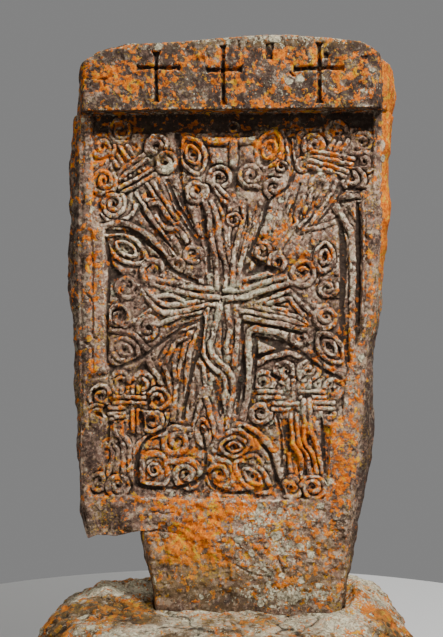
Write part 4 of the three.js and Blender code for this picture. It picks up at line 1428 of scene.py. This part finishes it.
class Nodes:
    """Short calls for a material's nodes."""

    def __init__(self, name):
        self.material = bpy.data.materials.new(name)
        self.material.use_nodes = True
        self.tree = self.material.node_tree
        self.shader = self.tree.nodes["Principled BSDF"]
        self.place = self.tree.nodes.new("ShaderNodeTexCoord").outputs["Object"]

    def join(self, value, socket):
        if isinstance(value, bpy.types.NodeSocket):
            self.tree.links.new(value, socket)
        else:
            socket.default_value = value

    def add(self, kind, inputs, **settings):
        """A node of the kind with its settings and inputs; returns its outputs."""
        node = self.tree.nodes.new(kind)
        for key, value in settings.items():
            setattr(node, key, value)
        for key, value in inputs.items():
            self.join(value, node.inputs[key])
        return node.outputs

    def field(self, name):
        return self.add("ShaderNodeAttribute", {}, attribute_name=name)["Fac"]

    def noise(self, size_mm, detail, roughness, offset=0.0):
        shift = (offset, offset * 0.7, offset * 1.3)
        place = self.add("ShaderNodeVectorMath", {0: self.place, 1: shift}, operation="ADD")[0]
        inputs = {"Vector": place, "Scale": 1000.0 / size_mm, "Detail": detail, "Roughness": roughness}
        return self.add("ShaderNodeTexNoise", inputs)["Fac"]

    def spots(self, size_mm, detail, roughness, offset, low, high):
        """Noise that rises from 0 at the low value to 1 at the high one."""
        return self.step(self.noise(size_mm, detail, roughness, offset), low, high)

    def rosettes(self, size_mm, amount):
        """Round patches with ragged rims; the amount, 0 to 1, says how many of them there are."""
        ragged = self.noise(size_mm * 0.45, 3.0, 0.5)
        cells = self.add("ShaderNodeTexVoronoi", {"Vector": self.place, "Scale": 1000.0 / size_mm})
        split = self.add("ShaderNodeSeparateColor", {"Color": cells["Color"]})
        chance = self.weigh((split["Red"], 1), (amount, 0.64))
        near = self.weigh((cells["Distance"], 1), (ragged, 0.55), (split["Green"], 0.22))
        return self.math("MULTIPLY", self.step(near, 0.78, 0.68), self.step(chance, 0.95, 0.98))

    def math(self, operation, a, b):
        return self.add("ShaderNodeMath", {0: a, 1: b}, operation=operation)[0]

    def times(self, value, factor):
        return self.math("MULTIPLY", value, factor)

    def weigh(self, *parts):
        """The sum of values, each times its weight."""
        terms = [value if weight == 1 else self.times(value, weight) for value, weight in parts]
        total = terms[0]
        for term in terms[1:]:
            total = self.math("ADD", total, term)
        return total

    def step(self, value, low, high):
        inputs = {"Value": value, "From Min": low, "From Max": high}
        return self.add("ShaderNodeMapRange", inputs, interpolation_type="SMOOTHSTEP")["Result"]

    def mix(self, share, a, b):
        """The first colour, and the share of the second one over it."""
        return self.add("ShaderNodeMix", {"Factor": share, 6: a, 7: b}, data_type="RGBA")[2]

    def bump(self, height, strength, distance_mm, normal=None):
        inputs = {"Strength": strength, "Distance": distance_mm * MM, "Height": height}
        if normal is not None:
            inputs["Normal"] = normal
        return self.add("ShaderNodeBump", inputs)["Normal"]


def stone(name, low, mid, high, rosette_mm, depth=1.0):
    """Weathered stone with painted shade in its crevices, paler ridges that are partly a painted highlight,
    and growths whose places the mesh carries.
    """
    n = Nodes(name)
    cavity, ridge, grime_and_shade, bare = (n.field(key) for key in ("cavity", "ridge", "shade_and_grime", "bare"))
    fine = n.noise(9, 3, 0.65, 5.7)
    cloud = n.noise(46, 4, 0.6, 75.0)
    tone = n.mix(n.spots(40, 5, 0.65, 3.1, 0.42, 0.58), low, mid)
    tone = n.mix(n.times(n.step(fine, 0.48, 0.60), 0.8), tone, high)
    # Painted shade, partly grime, where the mesh's shade-and-grime values say
    tone = n.mix(n.times(grime_and_shade, 0.42), tone, GRIME_AND_SHADE_TONE)
    tone = n.mix(n.times(n.step(cloud, 0.47, 0.37), 0.45), tone, SAND)
    blots = n.weigh((n.noise(12, 4, 0.75, 7.9), 0.65), (n.noise(60, 3, 0.6), 0.35), (grime_and_shade, 0.10))
    tone = n.mix(n.times(n.step(blots, 0.52, 0.58), 0.8), tone, BLOT)
    # Rib tops turn cream: partly pale worn stone, partly a painted highlight
    pale = n.weigh((n.field("pale"), 1), (bare, -0.4))
    bleached_and_lit = n.weigh((n.noise(16, 4, 0.65, 9.3), 1), (pale, 0.20))
    tone = n.mix(n.math("MULTIPLY", ridge, n.step(bleached_and_lit, 0.50, 0.60)), tone, CREAM)
    # Earth and moss
    olive = n.math("MULTIPLY", n.field("olive"), n.spots(30, 5, 0.7, 65.0, 0.34, 0.56))
    tone = n.mix(n.times(olive, 0.75), tone, EARTH)
    # Olive and yellow dust
    dust = n.weigh((n.noise(7, 3, 0.7, 61.0), 0.6), (n.noise(90, 3, 0.6, 63.0), 0.4))
    tone = n.mix(n.times(n.step(dust, 0.56, 0.61), 0.75), tone, YELLOW_DUST)
    # Orange crust, broken up at two sizes
    orange = n.weigh((n.field("orange"), 1), (bare, -0.35))
    spread = n.weigh((n.noise(46, 4, 0.60, 21.0), 0.34), (n.noise(18, 3, 0.62, 27.0), 0.66), (orange, 0.17),
                     (ridge, 0.06))
    orange_mask = n.step(spread, 0.570, 0.604)
    crust = n.mix(n.spots(10, 4, 0.7, 31.0, 0.40, 0.60), DEEP_ORANGE, BRIGHT_ORANGE)
    crust = n.mix(n.spots(26, 3, 0.6, 37.0, 0.54, 0.62), crust, YELLOW)
    crust = n.mix(n.times(olive, 0.7), crust, MOSSY_ORANGE)
    crust = n.mix(n.times(n.spots(5, 3, 0.7, 39.0, 0.56, 0.66), 0.7), crust, BROWN_SPECKS)
    tone = n.mix(n.times(orange_mask, 0.98), tone, crust)
    # Pale crusts: small flecks everywhere, and round scalloped patches
    flecks = n.weigh((n.noise(34, 4, 0.65, 12.4), 0.40), (n.noise(9, 3, 0.7, 13.7), 0.60), (pale, 0.13))
    large = n.weigh((n.step(pale, 0.4, 1.1), 1), (bare, -1.0))
    round_mask = n.math("MAXIMUM", n.rosettes(rosette_mm, pale), n.rosettes(rosette_mm * 1.8, large))
    pale_mask = n.math("MAXIMUM", n.step(flecks, 0.60, 0.64), round_mask)
    pale_tone = n.mix(n.spots(8, 4, 0.7, 15.0, 0.40, 0.58), PALE_GREY, PALE_WHITE)
    tone = n.mix(n.times(pale_mask, 0.9), tone, pale_tone)
    # Painted shade: crevices, hollows, cuts and the band under the cornice darken towards near black, less
    # under orange crust
    uneven = n.math("SUBTRACT", n.noise(26, 4, 0.7, 71.0), 0.5)
    dark = n.times(n.step(n.weigh((cavity, 1), (uneven, 0.9)), 0.30, 1.0), 0.93)
    dark = n.math("MULTIPLY", dark, n.math("SUBTRACT", 1.0, n.times(orange_mask, 0.40)))
    tone = n.mix(dark, tone, HOLLOW_SHADE)
    # Painted shade from the shade-and-grime values, and darker clouds at random
    shade = n.weigh((grime_and_shade, 0.24), (n.step(cloud, 0.50, 0.63), 0.34))
    tone = n.mix(shade, tone, SHADE)
    # Surface
    grain = n.bump(n.noise(4, 3, 0.7, 51.0), 0.8, 1.6 * depth)
    pits = n.bump(n.noise(14 * depth, 5, 0.75, 53.0), 0.9, 5.5 * depth, grain)
    rims = n.bump(n.math("MULTIPLY", n.math("ADD", orange_mask, pale_mask), fine), 0.8, 2.2, pits)
    thick = n.bump(n.weigh((round_mask, 1), (fine, 0.5)), 0.7, 4.0, rims)
    n.join(tone, n.shader.inputs["Base Color"])
    n.join(n.math("ADD", 0.82, n.times(fine, 0.16)), n.shader.inputs["Roughness"])
    n.join(0.2, n.shader.inputs["Specular IOR Level"])
    n.join(thick, n.shader.inputs["Normal"])
    return n.material


carved_stone = stone("carved_stone", colour(96, 71, 59), colour(130, 100, 84), colour(172, 141, 118), 30)
rough_stone = stone("rough_stone", colour(70, 54, 38), colour(112, 88, 62), colour(160, 134, 98), 46, 2.0)
for piece, material in ((slab, carved_stone), (base, rough_stone)):
    piece.data.materials.clear()
    piece.data.materials.append(material)

# Floor, light and camera, in metres but for the height on the slab that they are turned to
LOOK_HEIGHT = 844.5
FLOOR_RADIUS = 1.6
FLOOR_GREY = colour(190, 190, 188)
WORLD_GREY = colour(132, 132, 132)
CENTRE = (0.0, FACE_Y * MM, (BASE_HEIGHT + LOOK_HEIGHT) * MM)
# Each lamp's name, place, size and power
LAMPS = [
    ("key", (1.9, -2.7, 4.3), 0.8, 400),
    ("fill", (-1.6, -4.2, 1.9), 2.6, 50),
    ("rear", (0.6, 3.2, 3.6), 2.4, 90),
]
CAMERA_DISTANCE = 3.6
CAMERA_AZIMUTH = math.radians(4.0)
FOCAL_PIXELS = 1200.0
PICTURE_HEIGHT = 637.0
SENSOR_WIDTH = 36.0


def add_aimed(name, data, place):
    """A lamp or camera at the place, turned to the middle of the carved front."""
    thing = bpy.data.objects.new(name, data)
    bpy.context.scene.collection.objects.link(thing)
    thing.location = place
    thing.rotation_euler = Vector([a - p for a, p in zip(CENTRE, place)]).to_track_quat("-Z", "Y").to_euler()
    return thing


bpy.ops.mesh.primitive_circle_add(vertices=96, radius=FLOOR_RADIUS, fill_type="NGON", location=(0, 0, 0))
floor = bpy.context.object
floor.name = "floor"
floor_paint = bpy.data.materials.new("floor_paint")
floor_paint.use_nodes = True
floor_shader = floor_paint.node_tree.nodes["Principled BSDF"]
floor_shader.inputs["Base Color"].default_value = FLOOR_GREY
floor_shader.inputs["Roughness"].default_value = 0.9
floor.data.materials.append(floor_paint)

world = bpy.data.worlds.new("studio")
world.use_nodes = True
world.node_tree.nodes["Background"].inputs["Color"].default_value = WORLD_GREY
world.node_tree.nodes["Background"].inputs["Strength"].default_value = 1.0
bpy.context.scene.world = world

for name, place, size, power in LAMPS:
    lamp = bpy.data.lights.new(name, "AREA")
    lamp.shape = "DISK"
    lamp.size = size
    lamp.energy = power
    add_aimed(name, lamp, place)

camera_data = bpy.data.cameras.new("camera")
camera_data.sensor_width = SENSOR_WIDTH
camera_data.lens = FOCAL_PIXELS / PICTURE_HEIGHT * SENSOR_WIDTH
bpy.context.scene.camera = add_aimed("camera", camera_data, (
    CENTRE[0] + CAMERA_DISTANCE * math.sin(CAMERA_AZIMUTH),
    CENTRE[1] - CAMERA_DISTANCE * math.cos(CAMERA_AZIMUTH),
    CENTRE[2],
))
